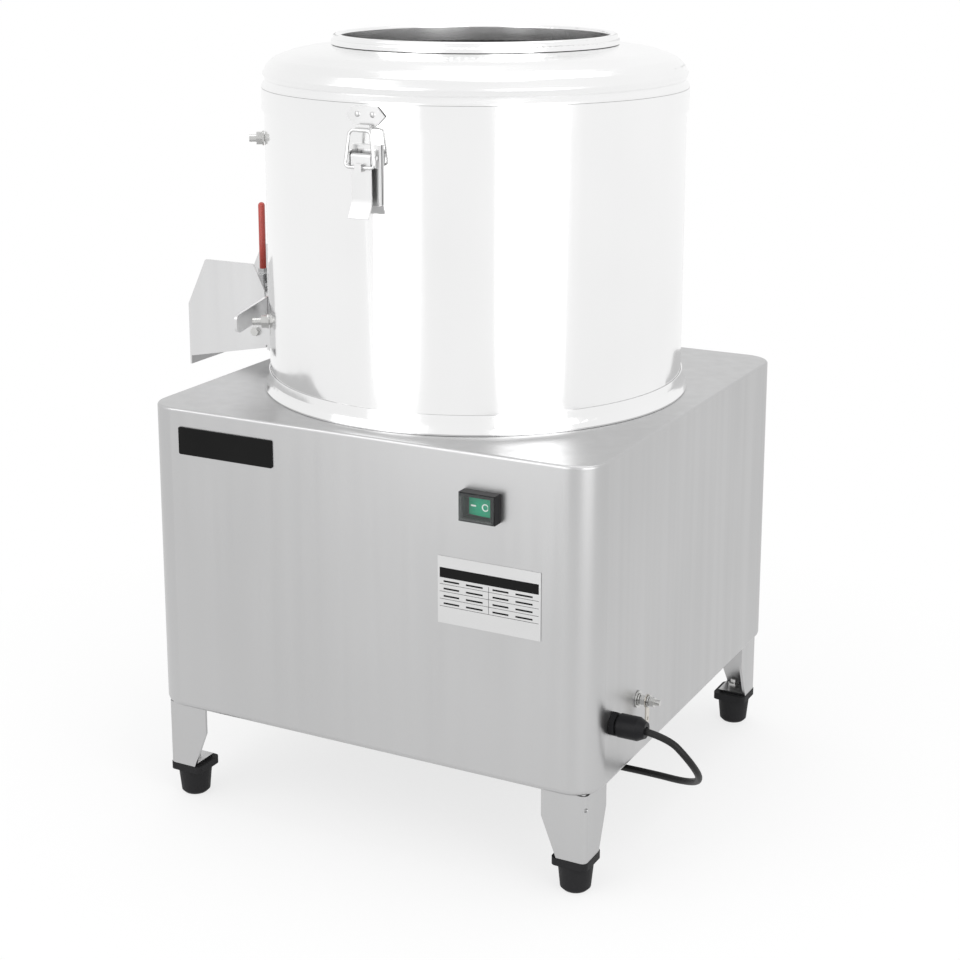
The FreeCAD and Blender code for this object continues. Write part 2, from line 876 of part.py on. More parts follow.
# Turning disc, shaft, pulleys, bearings and motor
def drive():
    top = disc_low + disc_t
    plate = revolved(
        [
            (shaft_r, disc_low),
            (disc_r, disc_low),
            (disc_r, top - 3),
            (disc_r - 3, top),
            (disc_r * 0.5, top - 2),
            (30, top),
            (shaft_r, top),
        ]
    )
    waves = []
    for angle in (0, 120, 240):
        wave = cone(32, 0, top - 3, 7, wave_h + 3, disc_r - 46, "x")
        wave = meet(wave, box(20, -30, top - 4, disc_r, 60, 40))
        waves.append(turned(wave, angle))
    node("abrasive_disc", cut(fuse(plate, *waves), rod(0, 0, disc_low - 5, shaft_r, 60)))
    shaft_top = top + 6
    node("main_shaft", rod(0, 0, shaft_low, shaft_r, shaft_top - shaft_low))
    knob = revolved(
        [(0, shaft_top), (20, shaft_top), (24, shaft_top + 2, 1), (20, shaft_top + 14, 5), (0, shaft_top + 16)]
    )
    node("disc_nut", knob)
    node("driven_pulley", pulley(0, 0, pulley_r, shaft_r))
    node("drive_pulley", pulley(motor_x, motor_y, drive_r, motor_shaft_r))
    node("motor_shaft", rod(motor_x, motor_y, shaft_low + 4, motor_shaft_r, motor_low + 12 - shaft_low))
    tube = ring(bearing_r, housing_r - 13, housing_low, base_high - sheet_t - seam)
    flange = ring(bearing_r, housing_r + 24, base_high - sheet_t - seam - 10, base_high - sheet_t - seam)
    shelf = ring(bearing_r - 5, bearing_r + 1, housing_low + bearing_h + 10, housing_low + bearing_h + 60)
    holes = [flange_hole(a, base_high - 16) for a in (45, 135, 225, 315)]
    node("bearing_housing", cut(fuse(tube, flange, shelf), *holes))
    low = housing_low + 10
    high = housing_low + bearing_h + 60
    pair = [ring(shaft_r + run_gap, bearing_r - 0.02, z, z + bearing_h) for z in (low, high)]
    node("main_bearings", group(*pair))
    seal = base_high + seam + 3
    node(
        "shaft_seal",
        revolved(
            [
                (shaft_r + run_gap, base_high - sheet_t),
                (housing_r - 13.4, base_high - sheet_t),
                (housing_r - 13.4, seal),
                (housing_r - 8, seal),
                (housing_r - 8, seal + 3, 1),
                (shaft_r + run_gap, seal + 3),
            ]
        ),
    )
    bolts = []
    for angle in (45, 135, 225, 315):
        x = (housing_r + 12) * math.cos(math.radians(angle))
        y = (housing_r + 12) * math.sin(math.radians(angle))
        z = base_high + seam + 3
        bolts.append(fuse(rod(x, y, base_high - 22, bolt_r, 24 + seam), hexagon(x, y, z, nut_r - 1, 4.5)))
        low_z = base_high - sheet_t - seam - 10 - nut_h
        bolts.append(cut(hexagon(x, y, low_z, nut_r, nut_h), rod(x, y, low_z - 1, bolt_r, nut_h + 2)))
    return bolts


def pulley(x, y, radius, bore):
    """A flat-grooved pulley with a hub."""
    half = pulley_h / 2
    groove = cut(
        rod(x, y, pulley_z - half + 3, radius + 10, pulley_h - 6),
        rod(x, y, pulley_z - half, radius - belt_t, pulley_h),
    )
    body = fuse(rod(x, y, pulley_z - half, radius, pulley_h), rod(x, y, pulley_z - half, bore + 8, pulley_h + 8))
    return cut(body, groove, rod(x, y, pulley_z - pulley_h, bore, pulley_h * 4))


def motor(housing_bolts):
    top = motor_low + motor_h
    shell = fuse(
        rod(motor_x, motor_y, motor_low, motor_r, motor_h),
        rod(motor_x, motor_y, motor_low - 8, motor_r * 0.5, 10),
    )
    ribs = []
    for index in range(12):
        angle = math.radians(index * 30 + 15)
        fin = box(-3, motor_r - 2, motor_low + 15, 6, 8, motor_h - 30)
        fin = place(
            fin,
            motor_x + (motor_r - 2) * math.cos(angle),
            motor_y + (motor_r - 2) * math.sin(angle),
            motor_low + 15,
            FreeCAD.Rotation(V(0, 0, 1), math.degrees(angle) - 90),
        )
        ribs.append(fin)
    shaft_hole = rod(motor_x, motor_y, motor_low - 20, motor_shaft_r + run_gap, 42)
    node("motor_body", cut(fuse(shell, *ribs), shaft_hole))
    plate_low = top + seam
    hang = base_high - sheet_t - seam
    plate = rod(motor_x, motor_y, plate_low, motor_r + 6, 6)
    posts = []
    bolts = list(housing_bolts)
    for px, py in motor_bolt_spots():
        posts.append(rod(px, py, plate_low + 5, 8, hang - plate_low - 5))
        bolts.append(rod(px, py, base_high - 30, bolt_r, 30 - sheet_t))
    bores = [rod(px, py, base_high - 31, bolt_r, 40) for px, py in motor_bolt_spots()]
    node("motor_mount", cut(fuse(plate, *posts), *bores))
    node("mount_bolts", group(*bolts))
    reach = root(motor_x * motor_x + motor_y * motor_y)
    lean = math.degrees(math.atan2(number(motor_y), number(motor_x)))
    big = pulley_r - belt_t + seam
    small = drive_r - belt_t + seam
    outer = belt_loop(big + belt_t, small + belt_t, reach, pulley_h - 8)
    inner = belt_loop(big, small, reach, pulley_h)
    belt = cut(outer, inner)
    node("drive_belt", turned(belt, lean))


def belt_loop(big, small, reach, high):
    """The filled outline of an open belt about two round pulleys along X."""
    rise = root(reach * reach - (big - small) * (big - small))
    sine = (big - small) / reach
    cosine = rise / reach
    low = pulley_z - high / 2
    web = prism(
        "XY_Plane",
        [
            (big * sine, big * cosine),
            (reach + small * sine, small * cosine),
            (reach + small * sine, -(small * cosine)),
            (big * sine, -(big * cosine)),
        ],
        high,
        offset=low,
    )
    return fuse(web, rod(0, 0, low, big, high), rod(reach, 0, low, small, high))


# Discharge: frame on the drum, bent chute, sliding gate and lever clamp
def discharge():
    face = chute_back - 6.4
    frame = cut(
        box(-face, -chute_y - 6, chute_floor - 4, 22, (chute_y + 6) * 2, chute_top - chute_floor + 5),
        door_block(0),
        rod(0, 0, chute_floor - 20, drum_r + seam, chute_top - chute_floor + 45),
    )
    gate_x = face + seam + gate_t
    gate_low = door_low - 5
    plate = box(-gate_x, -chute_y + 5, gate_low, gate_t, (chute_y - 5) * 2, door_high + 6 - gate_low)
    tab = prism(
        "YZ_Plane",
        [
            (-chute_y + 10, tab_z),
            (-chute_y + 10, tab_z + tab_h),
            (-chute_y - 6, tab_z + tab_h),
            (-tab_reach, tab_z + tab_h - 11, 6),
            (-tab_reach, tab_z - 11, 6),
            (-chute_y - 6, tab_z),
        ],
        gate_t,
        offset=-gate_x,
    )
    node("gate", fuse(plate, tab))
    rails = []
    rail_x = gate_x + 1.8
    for sign, high in ((-1, tab_z - 5), (1, chute_top)):
        y = (chute_y - 5 + seam) * sign
        tall = high - chute_floor + 4
        strip_y = y if sign > 0 else y - 6
        strip = box(-rail_x, strip_y, chute_floor - 4, rail_x - face - 0.2, 6, tall)
        lip = box(-rail_x, y - 4 if sign > 0 else y, chute_floor - 4, 1.4, 4, tall)
        rails.append(fuse(strip, lip))
    node("chute", chute())
    brackets = []
    screws = []
    for sign in (-1, 1):
        y = chute_y + seam
        low = chute_floor + 2
        arm = box(-chute_back - 22, y if sign > 0 else -y - 3, low, 22 + chute_back - face + 14, 3, 30)
        arm = cut(arm, rod(0, 0, low - 5, drum_r + 8, 60))
        brackets.append(arm)
        start = (chute_y - chute_t) * sign
        way = "y" if sign > 0 else "-y"
        screw_x = -chute_back - 13
        head = hexagon(screw_x, (y + 3) * sign, low + 15, nut_r - 2, 4, way)
        shank = rod(screw_x, start, low + 15, bolt_r - 1, chute_t + 6, way)
        screws.append(fuse(head, shank))
    bore = rod(-chute_back - 13, -chute_y - 40, chute_floor + 17, bolt_r - 1, chute_y * 2 + 80, "y")
    node("discharge_frame", cut(fuse(frame, *rails, *brackets), bore))
    node("chute_bolts", group(*screws))


def chute():
    """One bent sheet: two walls, a sloping floor and a turned-down lip."""
    tip_z = chute_floor - chute_drop
    side = [
        (-chute_back - 2, chute_floor),
        (-chute_back - 2, pivot_z - 1),
        (-chute_back - 17, chute_top, 2),
        (-chute_tip + 26, chute_top, 3),
        (-chute_tip, chute_top - 55, 3),
        (-chute_tip, tip_z),
    ]
    walls = prism("XZ_Plane", side, chute_y * 2, middle=True)
    hollow = box(
        -chute_tip - 20,
        -chute_y + chute_t,
        tip_z - 40,
        chute_tip,
        (chute_y - chute_t) * 2,
        chute_top - tip_z + 80,
    )
    floor = prism(
        "XZ_Plane",
        [
            (-chute_back - 2, chute_floor),
            (-chute_tip, tip_z),
            (-chute_tip, tip_z - lip_h),
            (-chute_tip + chute_t, tip_z - lip_h),
            (-chute_tip + chute_t, tip_z - chute_t),
            (-chute_back - 2, chute_floor - chute_t),
        ],
        chute_y * 2,
        middle=True,
    )
    holes = rod(-chute_back - 13, -chute_y - 40, chute_floor + 17, bolt_r - 1, chute_y * 2 + 80, "y")
    bar = rod(-pivot_x, -chute_y - 40, pivot_z - 14, 3, chute_y * 2 + 80, "y")
    return cut(fuse(cut(walls, hollow), floor), holes, bar)


def clamp():
    """Bridge bar and clevis between the chute walls, with a gripped lever that presses the gate."""
    bar_z = pivot_z - 14
    bar = rod(-pivot_x, -chute_y, bar_z, 3, chute_y * 2, "y")
    ears = []
    for y in (-9, 5):
        ears.append(box(-pivot_x - 6, y, bar_z - 5, 12, 4, 25))
    hinge_pin = rod(-pivot_x, -9, pivot_z, 2.5, 18, "y")
    node("clamp_bridge", fuse(bar, *ears, hinge_pin))
    pad_face = chute_back - 6.4 + seam + gate_t + seam
    arm = cut(
        fuse(
            rod(-pivot_x, -4.6, pivot_z, 6.5, 9.2, "y"),
            box(-pivot_x, -4.6, pivot_z - 0.5, pivot_x - pad_face - 10, 9.2, 7),
            box(-pivot_x - 4, -4.6, pivot_z, 8, 9.2, grip_low - pivot_z + 2),
        ),
        rod(-pivot_x, -10, pivot_z, 2.5 + run_gap, 20, "y"),
    )
    node("clamp_lever", arm)
    pad_x = -pad_face - 10
    node("clamp_pad", box(pad_x, -9, pivot_z + 0.5, 10, 18, 13))
    grip = fuse(
        rod(-pivot_x, 0, grip_low + 2, grip_r, grip_len - grip_r - 2),
        ball(-pivot_x, 0, grip_low + grip_len - grip_r, grip_r),
    )
    node("clamp_grip", grip)


# Electrical pieces on the cabinet
def switch():
    front = -base_y / 2
    face = front - seam
    low_x = switch_x - bezel_w / 2
    low_z = switch_z - bezel_h / 2
    left = switch_x - rocker_w / 2
    foot = switch_z - rocker_h / 2
    frame = cut(
        box(low_x, face - bezel_d, low_z, bezel_w, bezel_d, bezel_h),
        box(left - 1, face - bezel_d - 1, foot - 1, rocker_w + 2, bezel_d + 2, rocker_h + 2),
    )
    node("switch_bezel", frame)
    pin_y = face + 1.2
    behind = cut(
        box(left - 0.8, face - 0.3, foot - 0.8, rocker_w + 1.6, 38, rocker_h + 1.6),
        box(left, face - 2, foot, rocker_w, 9.2, rocker_h),
    )
    pivot = rod(switch_x, pin_y, foot - 0.5, 1.5, rocker_h + 1)
    node("switch_body", fuse(behind, pivot))
    half = rocker_w / 2 - 0.8
    deep = bezel_d - 5
    rocker = prism(
        "XY_Plane",
        [
            (switch_x - half, pin_y - deep + 3.4),
            (switch_x, pin_y - deep + 1.2),
            (switch_x + half, pin_y - deep + 0.2),
            (switch_x + half - 1, pin_y + 1),
            (switch_x + 4, pin_y + 3.4),
            (switch_x - 4, pin_y + 3.4),
            (switch_x - half + 1, pin_y + 3),
        ],
        rocker_h - 1,
        offset=switch_z - rocker_h / 2 + 0.5,
    )
    node("switch_rocker", cut(rocker, rod(switch_x, pin_y, switch_z - 40, 1.5 + run_gap, 80)))
    shell = cut(
        box(low_x + 1, face - bezel_d - 5.3, low_z + 1, bezel_w - 2, 5, bezel_h - 2),
        box(low_x + 3, face - bezel_d - 4, low_z + 3, bezel_w - 6, 6, bezel_h - 6),
    )
    node("switch_cover", shell)


def plates():
    face = -base_y / 2 - seam
    node(
        "badge_plate",
        prism(
            "XZ_Plane",
            [
                (-badge_x - badge_w / 2, badge_z - badge_h / 2, 2),
                (-badge_x + badge_w / 2, badge_z - badge_h / 2, 2),
                (-badge_x + badge_w / 2, badge_z + badge_h / 2, 2),
                (-badge_x - badge_w / 2, badge_z + badge_h / 2, 2),
            ],
            1.2,
            offset=-face,
        ),
    )
    node(
        "rating_plate",
        box(rating_x - rating_w / 2, face - 0.6, rating_z - rating_h / 2, rating_w, 0.6, rating_h),
    )


def cable_gland():
    side = base_x / 2
    bore = rod(side - 60, -gland_y, gland_z, cord_r + seam, 140, "x")
    body = fuse(
        rod(side - 22, -gland_y, gland_z, cord_r + 5.4, 24, "x"),
        hexagon(side + seam, -gland_y, gland_z, gland_r + 1, 6, "x"),
        rod(side + 5, -gland_y, gland_z, gland_r - 2.4, 12, "x"),
    )
    sleeve = cut(
        fuse(
            rod(side + 9, -gland_y, gland_z, gland_r, gland_out - 17, "x"),
            cone(side + gland_out - 8, -gland_y, gland_z, gland_r, gland_r - 4, 8, "x"),
        ),
        rod(side + 6, -gland_y, gland_z, gland_r - 2.1, 12, "x"),
        bore,
    )
    node("gland_cap", sleeve)
    lock = side - sheet_t - seam - 5
    thread = rod(lock - 5, -gland_y, gland_z, cord_r + 5.4, 20, "x")
    locknut = cut(hexagon(lock, -gland_y, gland_z, gland_r, 5, "x"), thread)
    node("gland_body", group(cut(body, bore), locknut))


def bonding():
    side = base_x / 2
    y = -stud_y
    shank = rod(side - 12, y, stud_z, stud_r, 12 + stud_out, "x")
    pieces = [fuse(shank, hexagon(side - 12, y, stud_z, 5.6, 4, "x"))]
    for x in (side - sheet_t - seam - 5, side + 4.2, side + 14):
        pieces.append(cut(hexagon(x, y, stud_z, 5.6, 5, "x"), rod(x - 1, y, stud_z, stud_r, 8, "x")))
    for x, radius in ((side + seam, 9), (side + 2.2, 6.5), (side + 12.2, 6.5)):
        pieces.append(cut(rod(x, y, stud_z, radius, 1.5, "x"), rod(x - 1, y, stud_z, stud_r, 8, "x")))
    node("bonding_stud", group(*pieces))
    tab_x = side + 10
    tab = fuse(rod(tab_x, y, stud_z, 7, 1.6, "x"), box(tab_x, y - 4, stud_z - 24, 1.6, 8, 22))
    eye = rod(tab_x - 5, y, stud_z, stud_r + 0.1, 12, "x")
    wire_hole = rod(tab_x - 5, y, stud_z - 19, 1.8, 12, "x")
    node("bonding_tab", cut(tab, eye, wire_hole))


def waterways():
    """The hose inlet high on the drum and the waste pipe out of the back."""
    low = base_high + seam
    inner = waste_r - waste_t
    drop = low + 2 - waste_z
    outer_pipe = fuse(
        rod(0, waste_y, waste_z, waste_r, drop),
        ball(0, waste_y, waste_z, waste_r),
        rod(0, waste_y, waste_z, waste_r, base_y / 2 + 4 - waste_y, "y"),
        rod(0, waste_y, waste_z, spigot_r, waste_out - waste_y, "y"),
    )
    inner_pipe = fuse(
        rod(0, waste_y, waste_z, inner, drop + 5),
        ball(0, waste_y, waste_z, inner),
        rod(0, waste_y, waste_z, inner, waste_out - waste_y + 5, "y"),
    )
    node("waste_pipe", cut(outer_pipe, inner_pipe))
    middle = drum_r / 2
    start = root(drum_r * drum_r - inlet_x * inlet_x) - 14
    nozzle = cut(
        fuse(
            rod(inlet_x, start, inlet_z, inlet_r, inlet_out - start, "y"),
            rod(inlet_x, drum_r * 0.95 + 3.2, inlet_z, inlet_r + 5, 4, "y"),
            cone(inlet_x, inlet_out, inlet_z, inlet_r, inlet_r - 1, 2, "y"),
        ),
        rod(inlet_x, middle, inlet_z, inlet_r - 2, inlet_out, "y"),
    )
    inside = cut(
        rod(0, 0, inlet_z - 30, drum_r + 1, 60),
        rod(inlet_x, middle, inlet_z, inlet_r, inlet_out, "y"),
    )
    node("water_inlet", cut(nozzle, inside))


# Mains cord: straight runs joined by tangent arcs, a loose coil behind the machine, a plug
CORD_POINTS = [
    (275, -210, 177),
    (322, -210, 177),
    (348, -204, 150),
    (350, -178, 120),
    (324, -150, 100),
    (278, -132, 92),
    (215, -118, 84),
    (150, -70, 68),
    (100, 15, 40),
    (70, 105, 12),
    (58, 190, 3.9),
    (62, 280, 3.9),
    (78, 365, 3.9),
    (84, 440, 3.9),
]
BEND_SHARE = 0.45


def cord_path(points):
    """Edges of the straight runs and of the arcs between them."""
    edges = []
    at = points[0]
    for i in range(1, len(points) - 1):
        here = points[i]
        back = points[i - 1] - here
        ahead = points[i + 1] - here
        half_turn = (math.pi - back.getAngle(ahead)) / 2
        reach = BEND_SHARE * min(back.Length, ahead.Length)
        radius = reach / math.tan(half_turn)
        print("cord bend %d: radius %.1f mm, turn %.1f deg" % (i, radius, math.degrees(half_turn * 2)))
        back.normalize()
        ahead.normalize()
        start = here + back * reach
        end = here + ahead * reach
        inward = (back + ahead).normalize()
        top = here + inward * (radius / math.cos(half_turn) - radius)
        edges.append(Part.LineSegment(at, start).toShape())
        edges.append(Part.Arc(start, top, end).toShape())
        at = end
    edges.append(Part.LineSegment(at, points[-1]).toShape())
    return edges


def swept(edges, radius):
    """A round tube along joined edges."""
    wire = Part.Wire(edges)
    first = edges[0]
    start = first.valueAt(first.FirstParameter)
    along = first.tangentAt(first.FirstParameter)
    loop = Part.Wire(Part.makeCircle(radius, start, along))
    shell = Part.BRepOffsetAPI.MakePipeShell(wire)
    shell.add(loop)
    shell.build()
    shell.makeSolid()
    return shell.shape()


def cord():
    doc.recompute()
    radius = sheet.cord_radius
    points = [V(*item) for item in CORD_POINTS]
    edges = cord_path(points)
    tube = doc.addObject("Part::Feature", "Cord")
    tube.Shape = swept(edges, radius)
    length = sum(edge.Length for edge in edges)
    print("cord length %.0f mm, volume against section times length %.4f"
          % (length, tube.Shape.Volume / (math.pi * radius * radius * length)))
    tube.Placement = FreeCAD.Placement()
    node("power_cord", tube)
    along = (points[-1] - points[-2]).normalize()
    coil = doc.addObject("Part::Feature", "Coil")
    coil_edges, leaving, heading = coil_path(points[-1], along, radius)
    coil.Shape = swept(coil_edges, radius)
    coil.Placement = FreeCAD.Placement()
    coil_length = sum(edge.Length for edge in coil_edges)
    share = coil.Shape.Volume / (math.pi * radius * radius * coil_length)
    print("coil length %.0f mm, volume against section times length %.4f" % (coil_length, share))
    print("coil least gap %.2f mm" % least_gap(coil_edges, radius))
    node("cord_coil", coil)
    plug(leaving, heading)


LAYER_TURNS = 1
COIL_ACROSS = 11
COIL_PITCH = 1.13


def coil_path(start, along, radius):
    """A coil in two layers: it spirals in, climbs one layer in a half turn, and spirals out on top."""
    wide = radius * 2
    pitch = wide * COIL_PITCH
    reach = (COIL_ACROSS * wide + pitch) / 2
    side = V(-along.y, along.x, 0)
    lead = start + along * wide
    centre = lead + side * reach
    inner = 2 * math.pi * LAYER_TURNS
    whole = inner * 2 + math.pi

    def spot(angle):
        """Place and direction on the coil after turning through an angle."""
        part = min(max((angle - inner) / math.pi, 0), 1)
        per_turn = pitch / (2 * math.pi)
        inward = per_turn * min(angle, inner, whole - angle) + pitch / 2 * (part - part * part)
        slope = per_turn * (1 - 2 * part)
        out = along * math.sin(angle) - side * math.cos(angle)
        ahead = along * math.cos(angle) + side * math.sin(angle)
        here = centre + out * (reach - inward)
        here.z = start.z + pitch * (1 - math.cos(math.pi * part)) / 2
        heading = ahead * (reach - inward) - out * slope
        heading.z = pitch * math.sin(math.pi * part) / 2
        return here, heading.normalize()

    edges = [Part.LineSegment(start, lead).toShape()]
    last = lead
    heading = along
    steps = int(round(whole / (math.pi / 2)))
    for index in range(steps):
        aim, aim_heading = spot((index + 1) * math.pi / 2)
        edges.extend(biarc(last, heading, aim, aim_heading))
        last = aim
        heading = aim_heading
    end = last + heading * wide
    edges.append(Part.LineSegment(last, end).toShape())
    return edges, end, heading


def biarc(a, ta, b, tb):
    """Two arcs that leave a along ta and reach b along tb."""
    span = b - a
    both = ta + tb
    quad = 2 * (1 - ta.dot(tb))
    lin = 2 * span.dot(both)
    near = span.dot(span)
    if abs(quad) < 1e-9:
        length = near / lin
    else:
        length = (-lin + math.sqrt(lin * lin + 4 * quad * near)) / (2 * quad)
    first = a + ta * length
    second = b - tb * length
    joint = (first + second) * 0.5
    return [arc_to(a, ta, joint), arc_to(joint, (second - first).normalize(), b)]


def arc_to(a, ta, b):
    """The arc from a to b that leaves a along ta."""
    chord = b - a
    across = chord - ta * chord.dot(ta)
    if across.Length < 1e-7:
        return Part.LineSegment(a, b).toShape()
    across.normalize()
    radius = chord.dot(chord) / (2 * chord.dot(across))
    centre = a + across * radius
    middle = centre + ((a - centre) + (b - centre)).normalize() * radius
    return Part.Arc(a, middle, b).toShape()


def least_gap(edges, radius):
    """Least clear distance of a tube to itself, measured on points a turn apart."""
    points = []
    for edge in edges:
        points.extend(edge.discretize(9)[:-1])
    skip = 24
    least = 1e9
    for i in range(len(points)):
        for j in range(i + skip, len(points)):
            least = min(least, (points[i] - points[j]).Length)
    return least - radius * 2


def plug(start, heading):
    """A flat moulded mains plug that lies on the floor at the coil's free end."""
    angle = math.degrees(math.atan2(heading.y, heading.x))
    radius = sheet.cord_radius
    spot = FreeCAD.Placement(start, FreeCAD.Rotation(V(0, 0, 1), angle))
    sleeve_length = 46
    body_length = 36
    half = start.z
    width = 37
    sleeve = Part.makeCone(radius + 0.4, radius + 3, sleeve_length, V(0, 0, 0), V(1, 0, 0))
    face = sleeve_length - 2 + body_length
    block = Part.makeBox(body_length, width, half * 2, V(sleeve_length - 2, -width / 2, -half))
    long_edges = [edge for edge in block.Edges if edge.BoundBox.XLength > body_length - 1]
    block = block.makeFillet(half * 0.6, long_edges)
    pins = [Part.makeCylinder(2.4, 19, V(face, y, 0), V(1, 0, 0)) for y in (-9.5, 9.5)]
    shape = Part.makeCompound([sleeve.fuse(block).removeSplitter()] + pins)
    item = doc.addObject("Part::Feature", "Plug")
    item.Shape = shape
    item.Placement = spot
    node("plug", item)


cabinet()
legs_and_feet()
drum()
deflector()
lid()
latch("front", -1)
latch("rear", 1)
motor(drive())
discharge()
clamp()
switch()
plates()
cable_gland()
bonding()
waterways()
cord()
doc.recompute()

CORD_NODES = ("power_cord", "cord_coil", "plug")
faults = [item.Label for item in doc.Objects if "Invalid" in item.State or "Error" in item.State]
for item in nodes:
    if item.Shape.isNull() or not item.Shape.isValid():
        faults.append(item.Label + " shape")
if faults:
    raise RuntimeError("not built: " + ", ".join(faults))

bounds = FreeCAD.BoundBox()
for item in nodes:
    if item.Label not in CORD_NODES:
        bounds.add(item.Shape.BoundBox)
shift = V(-bounds.Center.x, -bounds.Center.y, -bounds.ZMin)
print("nodes %d, shift %.4f %.4f %.4f" % (len(nodes), shift.x, shift.y, shift.z))
print("size %.1f %.1f %.1f" % (bounds.XLength, bounds.YLength, bounds.ZLength))
os.makedirs("parts", exist_ok=True)
for item in nodes:
    shape = item.Shape.copy()
    shape.translate(shift)
    shape.exportStep("parts/" + item.Label + ".step")
    print("%-20s solids %d volume %.0f" % (item.Label, len(shape.Solids), shape.Volume))
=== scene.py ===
"""Looks for the electric potato peeler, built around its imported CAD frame."""

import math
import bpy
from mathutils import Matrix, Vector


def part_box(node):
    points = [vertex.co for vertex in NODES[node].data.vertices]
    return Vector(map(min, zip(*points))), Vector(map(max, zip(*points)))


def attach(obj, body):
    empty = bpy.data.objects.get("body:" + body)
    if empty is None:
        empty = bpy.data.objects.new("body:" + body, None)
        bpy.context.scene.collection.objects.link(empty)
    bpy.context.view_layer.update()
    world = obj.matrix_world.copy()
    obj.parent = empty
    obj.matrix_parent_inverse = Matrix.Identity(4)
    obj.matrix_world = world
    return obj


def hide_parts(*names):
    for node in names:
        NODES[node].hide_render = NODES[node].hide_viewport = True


bl_info = {
    "name": "Potato peeler looks",
    "version": (1, 0, 0),
    "blender": (4, 5, 0),
    "location": "View3D > Sidebar > Peeler",
    "description": "Dresses the frame of a floor-standing potato peeler and sets up its studio",
    "category": "Object",
}

import bpy
import numpy as np
from bpy.props import FloatProperty, FloatVectorProperty, IntProperty, PointerProperty
from mathutils import Vector

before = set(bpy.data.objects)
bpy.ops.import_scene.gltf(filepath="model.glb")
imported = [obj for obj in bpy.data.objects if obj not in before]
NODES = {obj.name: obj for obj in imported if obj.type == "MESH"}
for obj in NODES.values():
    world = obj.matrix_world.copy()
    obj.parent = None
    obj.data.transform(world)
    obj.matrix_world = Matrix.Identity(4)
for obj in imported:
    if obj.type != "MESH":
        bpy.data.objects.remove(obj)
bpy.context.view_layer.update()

# The CAD model's own centring moves every place from its drum axis by this much
DRUM_X = sum(corner[0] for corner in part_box("drum_shell")) / 2
DRUM_Y = sum(corner[1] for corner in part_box("drum_shell")) / 2

# Points of the cord's route from the drum's axis, in metres, as the part's source has them
CORD_ROUTE = (
    (0.275, -0.210, 0.177),
    (0.322, -0.210, 0.177),
    (0.348, -0.204, 0.150),
    (0.350, -0.178, 0.120),
    (0.324, -0.150, 0.100),
    (0.278, -0.132, 0.092),
    (0.215, -0.118, 0.084),
    (0.150, -0.070, 0.068),
    (0.100, 0.015, 0.040),
    (0.070, 0.105, 0.012),
    (0.058, 0.190, 0.0039),
    (0.062, 0.280, 0.0039),
    (0.078, 0.365, 0.0039),
    (0.084, 0.440, 0.0039),
)
COIL_TURNS = 1
COIL_ACROSS = 11
COIL_PITCH = 1.13
POINTS_PER_TURN = 16

GROUPS = {
    "cabinet": (
        "cabinet_skin",
        "leg_front_left",
        "leg_front_right",
        "leg_rear_left",
        "leg_rear_right",
    ),
    "drum": ("drum_shell", "drum_foot_ring", "lid_band", "lid_dome", "mouth_collar"),
    "sheet": (
        "chute",
        "discharge_frame",
        "gate",
        "drum_floor",
        "waste_pipe",
        "water_inlet",
        "clamp_bridge",
        "clamp_lever",
    ),
    "latch": (
        "latch_keepers",
        "keeper_rivets",
        "latch_base_front",
        "latch_base_rear",
        "latch_lever_front",
        "latch_lever_rear",
        "latch_bail_front",
        "latch_bail_rear",
    ),
    "fastener": (
        "foot_bolts",
        "deflector_bolts",
        "mount_bolts",
        "chute_bolts",
        "bonding_stud",
        "main_shaft",
        "main_bearings",
        "motor_shaft",
        "disc_nut",
    ),
    "rubber": ("rubber_feet", "shaft_seal", "clamp_pad", "drive_belt"),
    "plastic": ("switch_bezel", "switch_body", "gland_cap", "gland_body", "plug"),
    "grit": ("abrasive_disc", "abrasive_liner", "deflector_bar"),
    "casting": ("motor_body", "motor_mount", "bearing_housing", "driven_pulley", "drive_pulley"),
}


class PeelerFinish(bpy.types.PropertyGroup):
    """Colours and finishes that a user would change."""

    steel_tone: FloatVectorProperty(
        name="Satin steel",
        description="Colour of the cabinet's steel",
        subtype="COLOR",
        size=3,
        default=(0.51, 0.51, 0.512),
    )
    drum_tone: FloatVectorProperty(
        name="Rolled steel",
        description="Colour of the drum's steel",
        subtype="COLOR",
        size=3,
        default=(0.88, 0.88, 0.88),
    )
    rocker_tone: FloatVectorProperty(
        name="Rocker",
        description="Colour of the switch's rocker",
        subtype="COLOR",
        size=3,
        default=(0.0, 0.30, 0.16),
    )
    grip_tone: FloatVectorProperty(
        name="Grip",
        description="Colour of the clamp's sleeve",
        subtype="COLOR",
        size=3,
        default=(0.42, 0.05, 0.035),
    )
    cabinet_roughness: FloatProperty(
        name="Cabinet roughness",
        description="Roughness of the satin sheet",
        min=0.05,
        max=1.0,
        default=0.34,
    )
    drum_roughness: FloatProperty(
        name="Drum roughness",
        description="Roughness of the rolled sheet",
        min=0.02,
        max=1.0,
        default=0.13,
    )


class PeelerWire(bpy.types.PropertyGroup):
    """Sizes of the latches' wire bails."""

    radius: FloatProperty(
        name="Wire radius",
        description="Radius of the bail's wire",
        unit="LENGTH",
        min=0.001,
        max=0.003,
        default=0.00175,
    )
    taper: FloatProperty(
        name="Taper",
        description="How far each side leans in at the keeper",
        unit="LENGTH",
        min=0,
        max=0.01,
        default=0.0048,
    )
    bend: FloatProperty(
        name="Bend",
        description="Length of each corner's bend",
        unit="LENGTH",
        min=0.002,
        max=0.01,
        default=0.0055,
    )


class PeelerCord(bpy.types.PropertyGroup):
    """Sizes of the mains cord."""

    diameter: FloatProperty(
        name="Diameter",
        description="Outer diameter of the cable",
        unit="LENGTH",
        min=0.004,
        max=0.012,
        default=0.0072,
    )
    smoothness: IntProperty(
        name="Smoothness",
        description="Steps along each span of the cable",
        min=4,
        max=32,
        default=12,
    )


